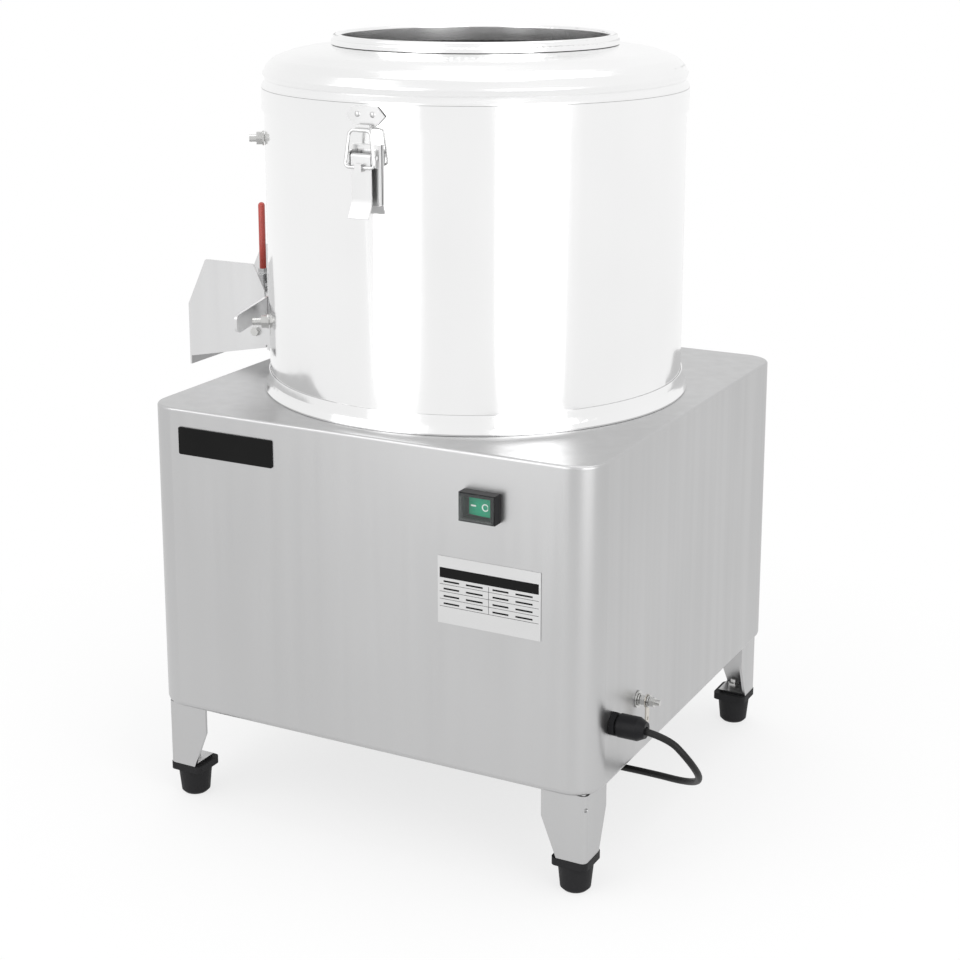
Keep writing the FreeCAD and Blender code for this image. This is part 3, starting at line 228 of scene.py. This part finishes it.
class PeelerStudio(bpy.types.PropertyGroup):
    """Sizes of the studio and the camera."""

    camera_place: FloatVectorProperty(
        name="Camera",
        description="Place of the camera",
        subtype="TRANSLATION",
        size=3,
        default=(0.9855, -1.8379, 0.9755),
    )
    camera_yaw: FloatProperty(
        name="Yaw",
        description="Turn of the camera to the left",
        subtype="ANGLE",
        default=0.4817,
    )
    camera_pitch: FloatProperty(
        name="Pitch",
        description="Tilt of the camera down",
        subtype="ANGLE",
        default=0.2239,
    )
    lens: FloatProperty(
        name="Lens",
        description="Focal length in millimetres",
        min=20,
        max=200,
        default=70.62,
    )
    shift: FloatProperty(
        name="Shift",
        description="Vertical lens shift as a share of the frame",
        default=-0.15,
    )
    floor_span: FloatProperty(
        name="Floor",
        description="Side of the floor",
        unit="LENGTH",
        min=4,
        max=60,
        default=24.0,
    )


# Materials
def new_material(name):
    """A fresh node material, with its nodes, its links and its shader."""
    material = bpy.data.materials.new(name)
    material.use_nodes = True
    nodes = material.node_tree.nodes
    return material, nodes, material.node_tree.links, nodes["Principled BSDF"]


def object_noise(nodes, links, scale, detail=3.0, stretch=(1, 1, 1)):
    """Noise on Object coordinates, stretched along an axis."""
    place = nodes.new("ShaderNodeTexCoord")
    mapping = nodes.new("ShaderNodeMapping")
    mapping.inputs["Scale"].default_value = stretch
    noise = nodes.new("ShaderNodeTexNoise")
    noise.inputs["Scale"].default_value = scale
    noise.inputs["Detail"].default_value = detail
    links.new(place.outputs["Object"], mapping.inputs["Vector"])
    links.new(mapping.outputs["Vector"], noise.inputs["Vector"])
    return noise


def spread(nodes, links, source, low, high):
    """Map a 0 to 1 value to a range of numbers."""
    remap = nodes.new("ShaderNodeMapRange")
    remap.inputs["From Min"].default_value = 0.3
    remap.inputs["From Max"].default_value = 0.7
    remap.inputs["To Min"].default_value = low
    remap.inputs["To Max"].default_value = high
    links.new(source, remap.inputs["Value"])
    return remap.outputs["Result"]


def tinted(nodes, links, source, first, second):
    """A colour between two colours."""
    ramp = nodes.new("ShaderNodeValToRGB")
    ramp.color_ramp.elements[0].position = 0.3
    ramp.color_ramp.elements[1].position = 0.7
    ramp.color_ramp.elements[0].color = (*first, 1)
    ramp.color_ramp.elements[1].color = (*second, 1)
    links.new(source, ramp.inputs["Fac"])
    return ramp.outputs["Color"]


def bumped(nodes, links, shader, source, strength, distance):
    """Give the shader a bump from a height."""
    bump = nodes.new("ShaderNodeBump")
    bump.inputs["Strength"].default_value = strength
    bump.inputs["Distance"].default_value = distance
    links.new(source, bump.inputs["Height"])
    links.new(bump.outputs["Normal"], shader.inputs["Normal"])


def shaded(tone, factor):
    """A colour made lighter or darker, held at white."""
    return tuple(min(1.0, channel * factor) for channel in tone)


def steel(name, tone, roughness, stretch, grain=0.05, bump=0.02, cloud=3.0):
    """Metal with fine grain lines along one axis and broad soft patches from the rolling mill."""
    material, nodes, links, shader = new_material(name)
    lines = object_noise(nodes, links, 60.0, 2.0, stretch)
    patches = object_noise(nodes, links, cloud, 2.0)
    shader.inputs["Metallic"].default_value = 1.0
    colour = tinted(nodes, links, patches.outputs["Fac"], shaded(tone, 0.96), shaded(tone, 1.04))
    links.new(colour, shader.inputs["Base Color"])
    dulled = spread(nodes, links, lines.outputs["Fac"], roughness - grain, roughness + grain)
    links.new(dulled, shader.inputs["Roughness"])
    if bump:
        bumped(nodes, links, shader, lines.outputs["Fac"], bump, 0.0004)
    return material


def moulded(name, tone, roughness, scale=900.0, bump=0.12, coat=0.0, gloss=0.5):
    """Plastic or rubber with a fine moulded texture and slight colour change."""
    material, nodes, links, shader = new_material(name)
    fine = object_noise(nodes, links, scale, 2.0)
    broad = object_noise(nodes, links, 24.0, 2.0)
    colour = tinted(nodes, links, broad.outputs["Fac"], shaded(tone, 0.88), shaded(tone, 1.12))
    links.new(colour, shader.inputs["Base Color"])
    dulled = spread(nodes, links, fine.outputs["Fac"], roughness - 0.06, roughness + 0.06)
    links.new(dulled, shader.inputs["Roughness"])
    shader.inputs["Coat Weight"].default_value = coat
    shader.inputs["Specular IOR Level"].default_value = gloss
    bumped(nodes, links, shader, fine.outputs["Fac"], bump, 0.0003)
    return material


def gritty(name):
    """Dark abrasive grains bonded to a backing."""
    material, nodes, links, shader = new_material(name)
    grains = nodes.new("ShaderNodeTexVoronoi")
    grains.inputs["Scale"].default_value = 420.0
    place = nodes.new("ShaderNodeTexCoord")
    links.new(place.outputs["Object"], grains.inputs["Vector"])
    broad = object_noise(nodes, links, 40.0, 4.0)
    colour = tinted(nodes, links, broad.outputs["Fac"], (0.06, 0.057, 0.053), (0.15, 0.145, 0.14))
    links.new(colour, shader.inputs["Base Color"])
    shader.inputs["Roughness"].default_value = 0.85
    bumped(nodes, links, shader, grains.outputs["Distance"], 0.8, 0.0012)
    return material


def clear_cover(name):
    """Thin clear splash cover: mostly see-through, glossy."""
    material, nodes, links, shader = new_material(name)
    patches = object_noise(nodes, links, 90.0, 2.0)
    links.new(spread(nodes, links, patches.outputs["Fac"], 0.04, 0.14), shader.inputs["Roughness"])
    shader.inputs["Base Color"].default_value = (0.86, 0.92, 0.9, 1)
    shader.inputs["Alpha"].default_value = 0.03
    shader.inputs["IOR"].default_value = 1.45
    return material


def dress(names, material):
    """Give CAD nodes a finish."""
    for name in names:
        for slot in NODES[name].material_slots:
            slot.material = material


# Meshes
def add_mesh(name, points, faces, material):
    """A mesh object at the world origin from arrays of points and faces."""
    mesh = bpy.data.meshes.new(name)
    mesh.from_pydata(np.asarray(points).tolist(), [], [list(face) for face in faces])
    mesh.materials.append(material)
    mesh.update()
    item = bpy.data.objects.new(name, mesh)
    bpy.context.scene.collection.objects.link(item)
    return item


def slabs(boxes, depth):
    """Closed flat slabs facing -Y: each box is (low x, low z, high x, high z, front y).

    Eight corners a slab: the front rectangle and the same one pushed back by the depth.
    """
    boxes = np.asarray(boxes, dtype=float)
    low_x, low_z, high_x, high_z, front = boxes.T
    xs = np.stack([low_x, high_x, high_x, low_x], axis=1)
    zs = np.stack([low_z, low_z, high_z, high_z], axis=1)
    ys = np.repeat(front[:, None], 4, axis=1)
    near = np.stack([xs, ys, zs], axis=2)
    far = near + np.array([0, depth, 0])
    points = np.concatenate([near, far], axis=1).reshape(-1, 3)
    ends = [(0, 1, 2, 3), (7, 6, 5, 4)]
    sides = [(0, 4, 5, 1), (1, 5, 6, 2), (2, 6, 7, 3), (3, 7, 4, 0)]
    pattern = np.array(ends + sides)
    faces = (pattern[None] + (np.arange(len(boxes)) * 8)[:, None, None]).reshape(-1, 4)
    return points, faces


def flat_ring(centre, radius, width, depth, steps=40):
    """A closed ring facing -Y: at each angle a rectangular section of the given width and depth."""
    angle = np.linspace(0, 2 * math.pi, steps, endpoint=False)
    inner = radius - width
    rings = []
    for reach, back in ((radius, 0), (inner, 0), (inner, depth), (radius, depth)):
        xs = centre[0] + reach * np.cos(angle)
        ys = np.full(steps, centre[1] + back)
        zs = centre[2] + reach * np.sin(angle)
        rings.append(np.stack([xs, ys, zs], axis=1))
    points = np.concatenate(rings)
    here = np.arange(steps)
    ahead = (here + 1) % steps
    faces = []
    for index in range(4):
        first = index * steps
        second = ((index + 1) % 4) * steps
        faces.append(np.stack([first + here, second + here, second + ahead, first + ahead], axis=1))
    return points, np.concatenate(faces)


def joined(parts):
    """Several point and face arrays as one."""
    points = []
    faces = []
    count = 0
    for some_points, some_faces in parts:
        points.append(some_points)
        faces.extend((np.asarray(some_faces) + count).tolist())
        count += len(some_points)
    return np.concatenate(points), faces


def wire_loop(corners, bend, radius, across, steps=8, around=14):
    """A closed tube along a flat loop with rounded corners.

    Each corner is a quadratic curve from one leg to the next, started the bend length before the
    corner. At each point of the loop a circle stands on the loop's plane normal and its sideways
    direction, so the tube has the same radius everywhere.
    """
    corners = np.asarray(corners, dtype=float)
    before = np.roll(corners, 1, axis=0) - corners
    after = np.roll(corners, -1, axis=0) - corners
    start = corners + before / np.linalg.norm(before, axis=1)[:, None] * bend
    end = corners + after / np.linalg.norm(after, axis=1)[:, None] * bend
    share = np.linspace(0, 1, steps)[None, :, None]
    from_start = start[:, None] * (1 - share) ** 2
    by_corner = corners[:, None] * 2 * share * (1 - share)
    to_end = end[:, None] * share**2
    line = (from_start + by_corner + to_end).reshape(-1, 3)
    ahead = np.roll(line, -1, axis=0) - np.roll(line, 1, axis=0)
    ahead = ahead / np.linalg.norm(ahead, axis=1)[:, None]
    sideways = np.cross(across, ahead)
    angle = np.linspace(0, 2 * math.pi, around, endpoint=False)[None, :, None]
    rings = line[:, None] + radius * (np.cos(angle) * across + np.sin(angle) * sideways[:, None])
    rows, count = rings.shape[:2]
    row, column = np.meshgrid(np.arange(rows), np.arange(count), indexing="ij")
    next_row = (row + 1) % rows
    next_column = (column + 1) % count
    here = row * count
    ahead = next_row * count
    around_face = [here + column, ahead + column, ahead + next_column, here + next_column]
    return rings.reshape(-1, 3), np.stack(around_face, axis=2).reshape(-1, 4)


class PEELER_OT_cabinet(bpy.types.Operator):
    """Finish the cabinet, its legs and the other bent sheet"""

    bl_idname = "peeler.cabinet"
    bl_label = "Cabinet and sheet"

    def execute(self, context):
        finish = context.scene.peeler_finish
        tone = finish.steel_tone
        dull = finish.cabinet_roughness
        satin = steel("satin_sheet", tone, dull, (1.0, 1.0, 0.03), bump=0.01)
        dress(GROUPS["cabinet"], satin)
        bent = steel("bent_sheet", shaded(tone, 1.25), dull, (1.0, 1.0, 0.05), bump=0.006)
        dress(GROUPS["sheet"], bent)
        return {"FINISHED"}


class PEELER_OT_drum(bpy.types.Operator):
    """Finish the drum and its lid"""

    bl_idname = "peeler.drum"
    bl_label = "Drum and lid"

    def execute(self, context):
        finish = context.scene.peeler_finish
        tone = finish.drum_tone
        dull = finish.drum_roughness
        rolled = steel("rolled_sheet", tone, dull, (1.0, 1.0, 0.02), grain=0.04, bump=0.012)
        dress(("drum_shell", "drum_foot_ring", "lid_band"), rolled)
        spun = steel("spun_sheet", tone, dull + 0.06, (0.05, 0.05, 1.0), grain=0.03, bump=0.01)
        dress(("lid_dome", "mouth_collar"), spun)
        dress(GROUPS["grit"], gritty("abrasive_grit"))
        return {"FINISHED"}


class PEELER_OT_hardware(bpy.types.Operator):
    """Finish the latches, bolts, castings and the bonding terminal"""

    bl_idname = "peeler.hardware"
    bl_label = "Latches and fasteners"

    def execute(self, context):
        pressed = steel("pressed_latch", (0.60, 0.60, 0.60), 0.33, (1.0, 1.0, 0.3), bump=0.03)
        dress(GROUPS["latch"], pressed)
        turned = steel("turned_fastener", (0.56, 0.56, 0.55), 0.28, (1.0, 1.0, 1.0), bump=0.06)
        dress(GROUPS["fastener"], turned)
        painted = moulded("painted_casting", (0.10, 0.11, 0.12), 0.5, 300.0, 0.3)
        dress(GROUPS["casting"], painted)
        plated = steel("plated_tab", (0.60, 0.57, 0.52), 0.3, (1.0, 1.0, 0.3), bump=0.03)
        dress(("bonding_tab",), plated)
        return {"FINISHED"}


class PEELER_OT_bails(bpy.types.Operator):
    """Bend the latches' wire bails, narrower at the keeper than at the lever"""

    bl_idname = "peeler.bails"
    bl_label = "Wire bails"

    def execute(self, context):
        wire = context.scene.peeler_wire
        finish = steel("drawn_wire", (0.66, 0.66, 0.66), 0.2, (1.0, 1.0, 1.0), bump=0.02)
        for side, sign in (("front", 1.0), ("rear", -1.0)):
            low, high = (np.array(corner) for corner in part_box("latch_bail_" + side))
            radius = wire.radius
            middle = (low[0] + high[0]) / 2
            half = (high[0] - low[0]) / 2 - radius
            inner = half - wire.taper
            lever_y, keeper_y = (low[1] + radius, high[1] - radius)[:: int(sign)]
            corners = [
                (middle - half, lever_y, low[2] + radius),
                (middle + half, lever_y, low[2] + radius),
                (middle + inner, keeper_y, high[2] - radius),
                (middle - inner, keeper_y, high[2] - radius),
            ]
            slope = np.subtract(corners[2], corners[1])
            across = np.cross((1.0, 0.0, 0.0), slope)
            points, faces = wire_loop(corners, wire.bend, radius, across / np.linalg.norm(across))
            item = add_mesh("wire_bail_" + side, points, faces, finish)
            for face in item.data.polygons:
                face.use_smooth = True
            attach(item, side + "_bail")
            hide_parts("latch_bail_" + side)
        return {"FINISHED"}


class PEELER_OT_mouldings(bpy.types.Operator):
    """Finish the rubber and plastic pieces"""

    bl_idname = "peeler.mouldings"
    bl_label = "Rubber and plastic"

    def execute(self, context):
        finish = context.scene.peeler_finish
        rubber = moulded("foot_rubber", (0.012, 0.012, 0.013), 0.6, 500.0, 0.2, gloss=0.2)
        dress(GROUPS["rubber"], rubber)
        black = moulded("black_moulding", (0.006, 0.006, 0.007), 0.4, 900.0, 0.08, gloss=0.16)
        dress(GROUPS["plastic"], black)
        enamel = moulded("badge_enamel", (0.005, 0.005, 0.005), 0.4, 700.0, 0.04, gloss=0.1)
        dress(("badge_plate",), enamel)
        green = moulded("rocker_green", tuple(finish.rocker_tone), 0.3, 900.0, 0.02, gloss=0.15)
        dress(("switch_rocker",), green)
        sleeve = moulded("dipped_sleeve", tuple(finish.grip_tone), 0.32, 400.0, 0.05, coat=0.3)
        dress(("clamp_grip",), sleeve)
        dress(("switch_cover",), clear_cover("clear_cover"))
        foil = steel("rating_foil", (0.62, 0.62, 0.62), 0.42, (0.3, 1.0, 1.0), bump=0.01)
        dress(("rating_plate",), foil)
        return {"FINISHED"}


# Shares of the rating plate's height for its rules, and of its width for the words under each
RULE_LEVELS = (0.42, 0.53, 0.64, 0.75)
WORD_SPANS = ((0.04, 0.2), (0.27, 0.44), (0.54, 0.7), (0.77, 0.94))


class PEELER_OT_rating_print(bpy.types.Operator):
    """Lay a black band and plain ruled rows on the rating plate"""

    bl_idname = "peeler.rating_print"
    bl_label = "Rating plate rules"

    def execute(self, context):
        low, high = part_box("rating_plate")
        proud = 0.00008
        front = low[1] - proud
        wide = high[0] - low[0]
        tall = high[2] - low[2]
        margin = 0.02 * wide
        left = low[0] + margin
        right = high[0] - margin
        rule = 0.0004
        boxes = [(left, high[2] - 0.32 * tall, right, high[2] - 0.17 * tall, front)]
        middle = (left + right) / 2
        for share in RULE_LEVELS:
            level = high[2] - share * tall
            boxes.append((left, level, right, level + rule, front))
            for start, end in WORD_SPANS:
                first = left + start * (right - left)
                last = left + end * (right - left)
                boxes.append((first, level + 0.035 * tall, last, level + 0.06 * tall, front))
        foot = high[2] - RULE_LEVELS[-1] * tall
        head = high[2] - 0.34 * tall
        boxes.append((middle - rule / 2, foot, middle + rule / 2, head, front))
        points, faces = slabs(boxes, proud * 0.9)
        ink = moulded("plate_ink", (0.006, 0.006, 0.006), 0.5, 900.0, 0.02, gloss=0.1)
        item = add_mesh("rating_plate_rules", points, faces, ink)
        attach(item, "cabinet")
        return {"FINISHED"}


class PEELER_OT_rocker_marks(bpy.types.Operator):
    """Put the on bar and the off ring on the rocker"""

    bl_idname = "peeler.rocker_marks"
    bl_label = "Rocker marks"

    def execute(self, context):
        low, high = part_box("switch_rocker")
        middle = (low[0] + high[0]) / 2
        level = (low[2] + high[2]) / 2
        depth = 0.0006
        bar_front = low[1] + 0.0018
        ring_front = low[1] + 0.0003
        left, right, half = middle - 0.0105, middle - 0.0035, 0.0008
        bar = slabs([(left, level - half, right, level + half, bar_front)], depth)
        ring = flat_ring((middle + 0.0062, ring_front, level), 0.0038, 0.0011, depth)
        points, faces = joined([bar, ring])
        white = moulded("mark_white", (0.75, 0.8, 0.78), 0.4, 900.0, 0.02)
        item = add_mesh("rocker_marks", points, faces, white)
        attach(item, "rocker")
        return {"FINISHED"}


def coil_points(start, along, diameter):
    """Control points of the put-away coil.

    The turn's angle runs evenly. The distance from the coil's middle falls by one pitch a turn on
    the lower layer, reverses in a half turn while the height climbs one pitch on a cosine, and
    grows again on the upper layer.
    """
    pitch = diameter * COIL_PITCH
    reach = (COIL_ACROSS * diameter + pitch) / 2
    inner = 2 * math.pi * COIL_TURNS
    whole = inner * 2 + math.pi
    side = np.array([-along[1], along[0], 0.0])
    lead = start + along * diameter
    centre = lead + side * reach
    count = int(whole / (2 * math.pi) * POINTS_PER_TURN) + 1
    angle = np.linspace(0, whole, count)
    part = np.clip((angle - inner) / math.pi, 0, 1)
    inward = pitch * np.minimum(np.minimum(angle, inner), whole - angle) / (2 * math.pi)
    inward = inward + pitch / 2 * (part - part * part)
    swell = 1 / (0.75 + 0.25 * math.cos(2 * math.pi / POINTS_PER_TURN))
    radius = (reach - inward) * swell
    out = np.outer(np.sin(angle), along) - np.outer(np.cos(angle), side)
    points = centre + out * radius[:, None]
    points[:, 2] = start[2] + pitch * (1 - np.cos(math.pi * part)) / 2
    heading = np.cos(whole) * along + np.sin(whole) * side
    end = points[-1] + heading * diameter
    return np.concatenate([lead[None], points[1:], end[None]])


class PEELER_OT_cord(bpy.types.Operator):
    """Lay the mains cord and its coil"""

    bl_idname = "peeler.cord"
    bl_label = "Mains cord"

    def execute(self, context):
        sizes = context.scene.peeler_cord
        route = np.array(CORD_ROUTE) + np.array([DRUM_X, DRUM_Y, 0.0])
        along = (route[-1] - route[-2]) / np.linalg.norm(route[-1] - route[-2])
        points = np.concatenate([route, coil_points(route[-1], along, sizes.diameter)])
        curve = bpy.data.curves.new("mains_cord", "CURVE")
        curve.dimensions = "3D"
        spline = curve.splines.new("NURBS")
        spline.points.add(len(points) - 1)
        spline.points.foreach_set("co", np.column_stack([points, np.ones(len(points))]).ravel())
        spline.order_u = 3
        spline.use_endpoint_u = True
        curve.resolution_u = sizes.smoothness
        curve.bevel_depth = sizes.diameter / 2
        curve.bevel_resolution = 6
        curve.use_fill_caps = True
        sheath = moulded("cable_sheath", (0.008, 0.008, 0.008), 0.45, 700.0, 0.1, gloss=0.25)
        curve.materials.append(sheath)
        item = bpy.data.objects.new("mains_cord", curve)
        context.scene.collection.objects.link(item)
        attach(item, "cabinet")
        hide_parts("power_cord", "cord_coil")
        return {"FINISHED"}


def area_light(name, place, aim, wide, tall, power):
    """A soft rectangular lamp that faces a point and isn't seen by the camera itself."""
    data = bpy.data.lights.new(name, "AREA")
    data.shape = "RECTANGLE"
    data.size = wide
    data.size_y = tall
    data.energy = power
    item = bpy.data.objects.new(name, data)
    item.visible_camera = False
    item.location = place
    item.rotation_euler = (Vector(aim) - Vector(place)).to_track_quat("-Z", "Y").to_euler()
    bpy.context.scene.collection.objects.link(item)


def background_rays(nodes, links):
    """1 for the rays that show the background, which are camera, gloss and glass, and else 0."""
    path = nodes.new("ShaderNodeLightPath")
    seen = nodes.new("ShaderNodeMath")
    seen.operation = "MAXIMUM"
    links.new(path.outputs["Is Camera Ray"], seen.inputs[0])
    links.new(path.outputs["Is Glossy Ray"], seen.inputs[1])
    either = nodes.new("ShaderNodeMath")
    either.operation = "MAXIMUM"
    links.new(seen.outputs[0], either.inputs[0])
    links.new(path.outputs["Is Transmission Ray"], either.inputs[1])
    return either.outputs[0]


def studio_world():
    """White for the camera, for gloss and for glass, and a plain grey fill for the rest."""
    world = bpy.data.worlds.new("studio")
    world.use_nodes = True
    nodes = world.node_tree.nodes
    links = world.node_tree.links
    nodes.clear()
    white = nodes.new("ShaderNodeBackground")
    white.inputs["Color"].default_value = (1, 1, 1, 1)
    fill = nodes.new("ShaderNodeBackground")
    fill.inputs["Color"].default_value = (1, 1, 1, 1)
    fill.inputs["Strength"].default_value = 0.8
    mix = nodes.new("ShaderNodeMixShader")
    output = nodes.new("ShaderNodeOutputWorld")
    links.new(background_rays(nodes, links), mix.inputs["Fac"])
    links.new(fill.outputs[0], mix.inputs[1])
    links.new(white.outputs[0], mix.inputs[2])
    links.new(mix.outputs[0], output.inputs["Surface"])
    bpy.context.scene.world = world


def floor_material():
    """Pale floor that the camera, gloss and glass see as mostly white, with a soft shadow.

    The share of plain white grows from 0.75 near the object, where the shadow falls, to 1.
    """
    material, nodes, links, shader = new_material("pale_floor")
    shader.inputs["Base Color"].default_value = (0.86, 0.86, 0.86, 1)
    shader.inputs["Roughness"].default_value = 0.9
    glow = nodes.new("ShaderNodeEmission")
    glow.inputs["Color"].default_value = (1, 1, 1, 1)
    place = nodes.new("ShaderNodeTexCoord")
    away = nodes.new("ShaderNodeVectorMath")
    away.operation = "LENGTH"
    links.new(place.outputs["Object"], away.inputs[0])
    fade = nodes.new("ShaderNodeMapRange")
    fade.inputs["From Min"].default_value = 0.35
    fade.inputs["From Max"].default_value = 0.85
    fade.inputs["To Min"].default_value = 0.75
    fade.inputs["To Max"].default_value = 1.0
    links.new(away.outputs["Value"], fade.inputs["Value"])
    share = nodes.new("ShaderNodeMath")
    share.operation = "MULTIPLY"
    mix = nodes.new("ShaderNodeMixShader")
    links.new(background_rays(nodes, links), share.inputs[0])
    links.new(fade.outputs["Result"], share.inputs[1])
    links.new(share.outputs[0], mix.inputs["Fac"])
    links.new(shader.outputs[0], mix.inputs[1])
    links.new(glow.outputs[0], mix.inputs[2])
    links.new(mix.outputs[0], nodes["Material Output"].inputs["Surface"])
    return material


# Each lamp's name, place, point that it faces, width and height in metres, and power in watts
LAMPS = (
    ("key", (-2.2, -2.6, 2.6), (0, 0, 0.5), 1.6, 2.2, 18),
    ("fill", (2.8, -1.2, 1.6), (0, 0, 0.4), 1.4, 2.0, 8),
    ("strip_left", (-0.50, -2.14, 1.2), (0, 0, 1.2), 0.85, 2.4, 11),
    ("strip_right", (1.82, -1.23, 1.2), (0, 0, 1.2), 1.3, 2.4, 16),
    ("top", (0.0, 0.4, 3.2), (0, 0, 0.6), 2.2, 2.2, 22),
)
FLOOR_LEVEL = -0.0005
SENSOR_WIDTH = 36.0


class PEELER_OT_stage(bpy.types.Operator):
    """Set up the floor, lamps and camera"""

    bl_idname = "peeler.stage"
    bl_label = "Studio"

    def execute(self, context):
        studio = context.scene.peeler_studio
        half = studio.floor_span / 2
        around = ((-half, -half), (half, -half), (half, half), (-half, half))
        corners = [(*place, FLOOR_LEVEL) for place in around]
        floor = add_mesh("studio_floor", corners, [(0, 1, 2, 3)], floor_material())
        studio_world()
        for lamp in LAMPS:
            area_light(*lamp)
        camera_data = bpy.data.cameras.new("camera")
        camera_data.lens = studio.lens
        camera_data.sensor_width = SENSOR_WIDTH
        camera_data.shift_y = studio.shift
        camera = bpy.data.objects.new("camera", camera_data)
        camera.location = studio.camera_place
        yaw = studio.camera_yaw
        pitch = studio.camera_pitch
        level = math.cos(pitch)
        forward = Vector((-math.sin(yaw) * level, math.cos(yaw) * level, -math.sin(pitch)))
        camera.rotation_euler = forward.to_track_quat("-Z", "Y").to_euler()
        context.scene.collection.objects.link(camera)
        context.scene.camera = camera
        context.scene.view_settings.view_transform = "Standard"
        return {"FINISHED"}


class PEELER_PT_panel(bpy.types.Panel):
    """Lists the peeler's operators"""

    bl_idname = "PEELER_PT_panel"
    bl_label = "Potato peeler"
    bl_space_type = "VIEW_3D"
    bl_region_type = "UI"
    bl_category = "Peeler"

    def draw(self, context):
        column = self.layout.column()
        for operator in OPERATORS:
            column.operator(operator.bl_idname)


OPERATORS = (
    PEELER_OT_cabinet,
    PEELER_OT_drum,
    PEELER_OT_hardware,
    PEELER_OT_bails,
    PEELER_OT_mouldings,
    PEELER_OT_rating_print,
    PEELER_OT_rocker_marks,
    PEELER_OT_cord,
    PEELER_OT_stage,
)
GROUP_CLASSES = (PeelerFinish, PeelerWire, PeelerCord, PeelerStudio)


def register():
    for item in GROUP_CLASSES + OPERATORS + (PEELER_PT_panel,):
        bpy.utils.register_class(item)
    bpy.types.Scene.peeler_finish = PointerProperty(type=PeelerFinish)
    bpy.types.Scene.peeler_wire = PointerProperty(type=PeelerWire)
    bpy.types.Scene.peeler_cord = PointerProperty(type=PeelerCord)
    bpy.types.Scene.peeler_studio = PointerProperty(type=PeelerStudio)


def unregister():
    del bpy.types.Scene.peeler_studio
    del bpy.types.Scene.peeler_cord
    del bpy.types.Scene.peeler_wire
    del bpy.types.Scene.peeler_finish
    for item in reversed(GROUP_CLASSES + OPERATORS + (PEELER_PT_panel,)):
        bpy.utils.unregister_class(item)


def main():
    register()
    bpy.ops.peeler.cabinet()
    bpy.ops.peeler.drum()
    bpy.ops.peeler.hardware()
    bpy.ops.peeler.bails()
    bpy.ops.peeler.mouldings()
    bpy.ops.peeler.rating_print()
    bpy.ops.peeler.rocker_marks()
    bpy.ops.peeler.cord()
    bpy.ops.peeler.stage()


if __name__ == "__main__":
    main()
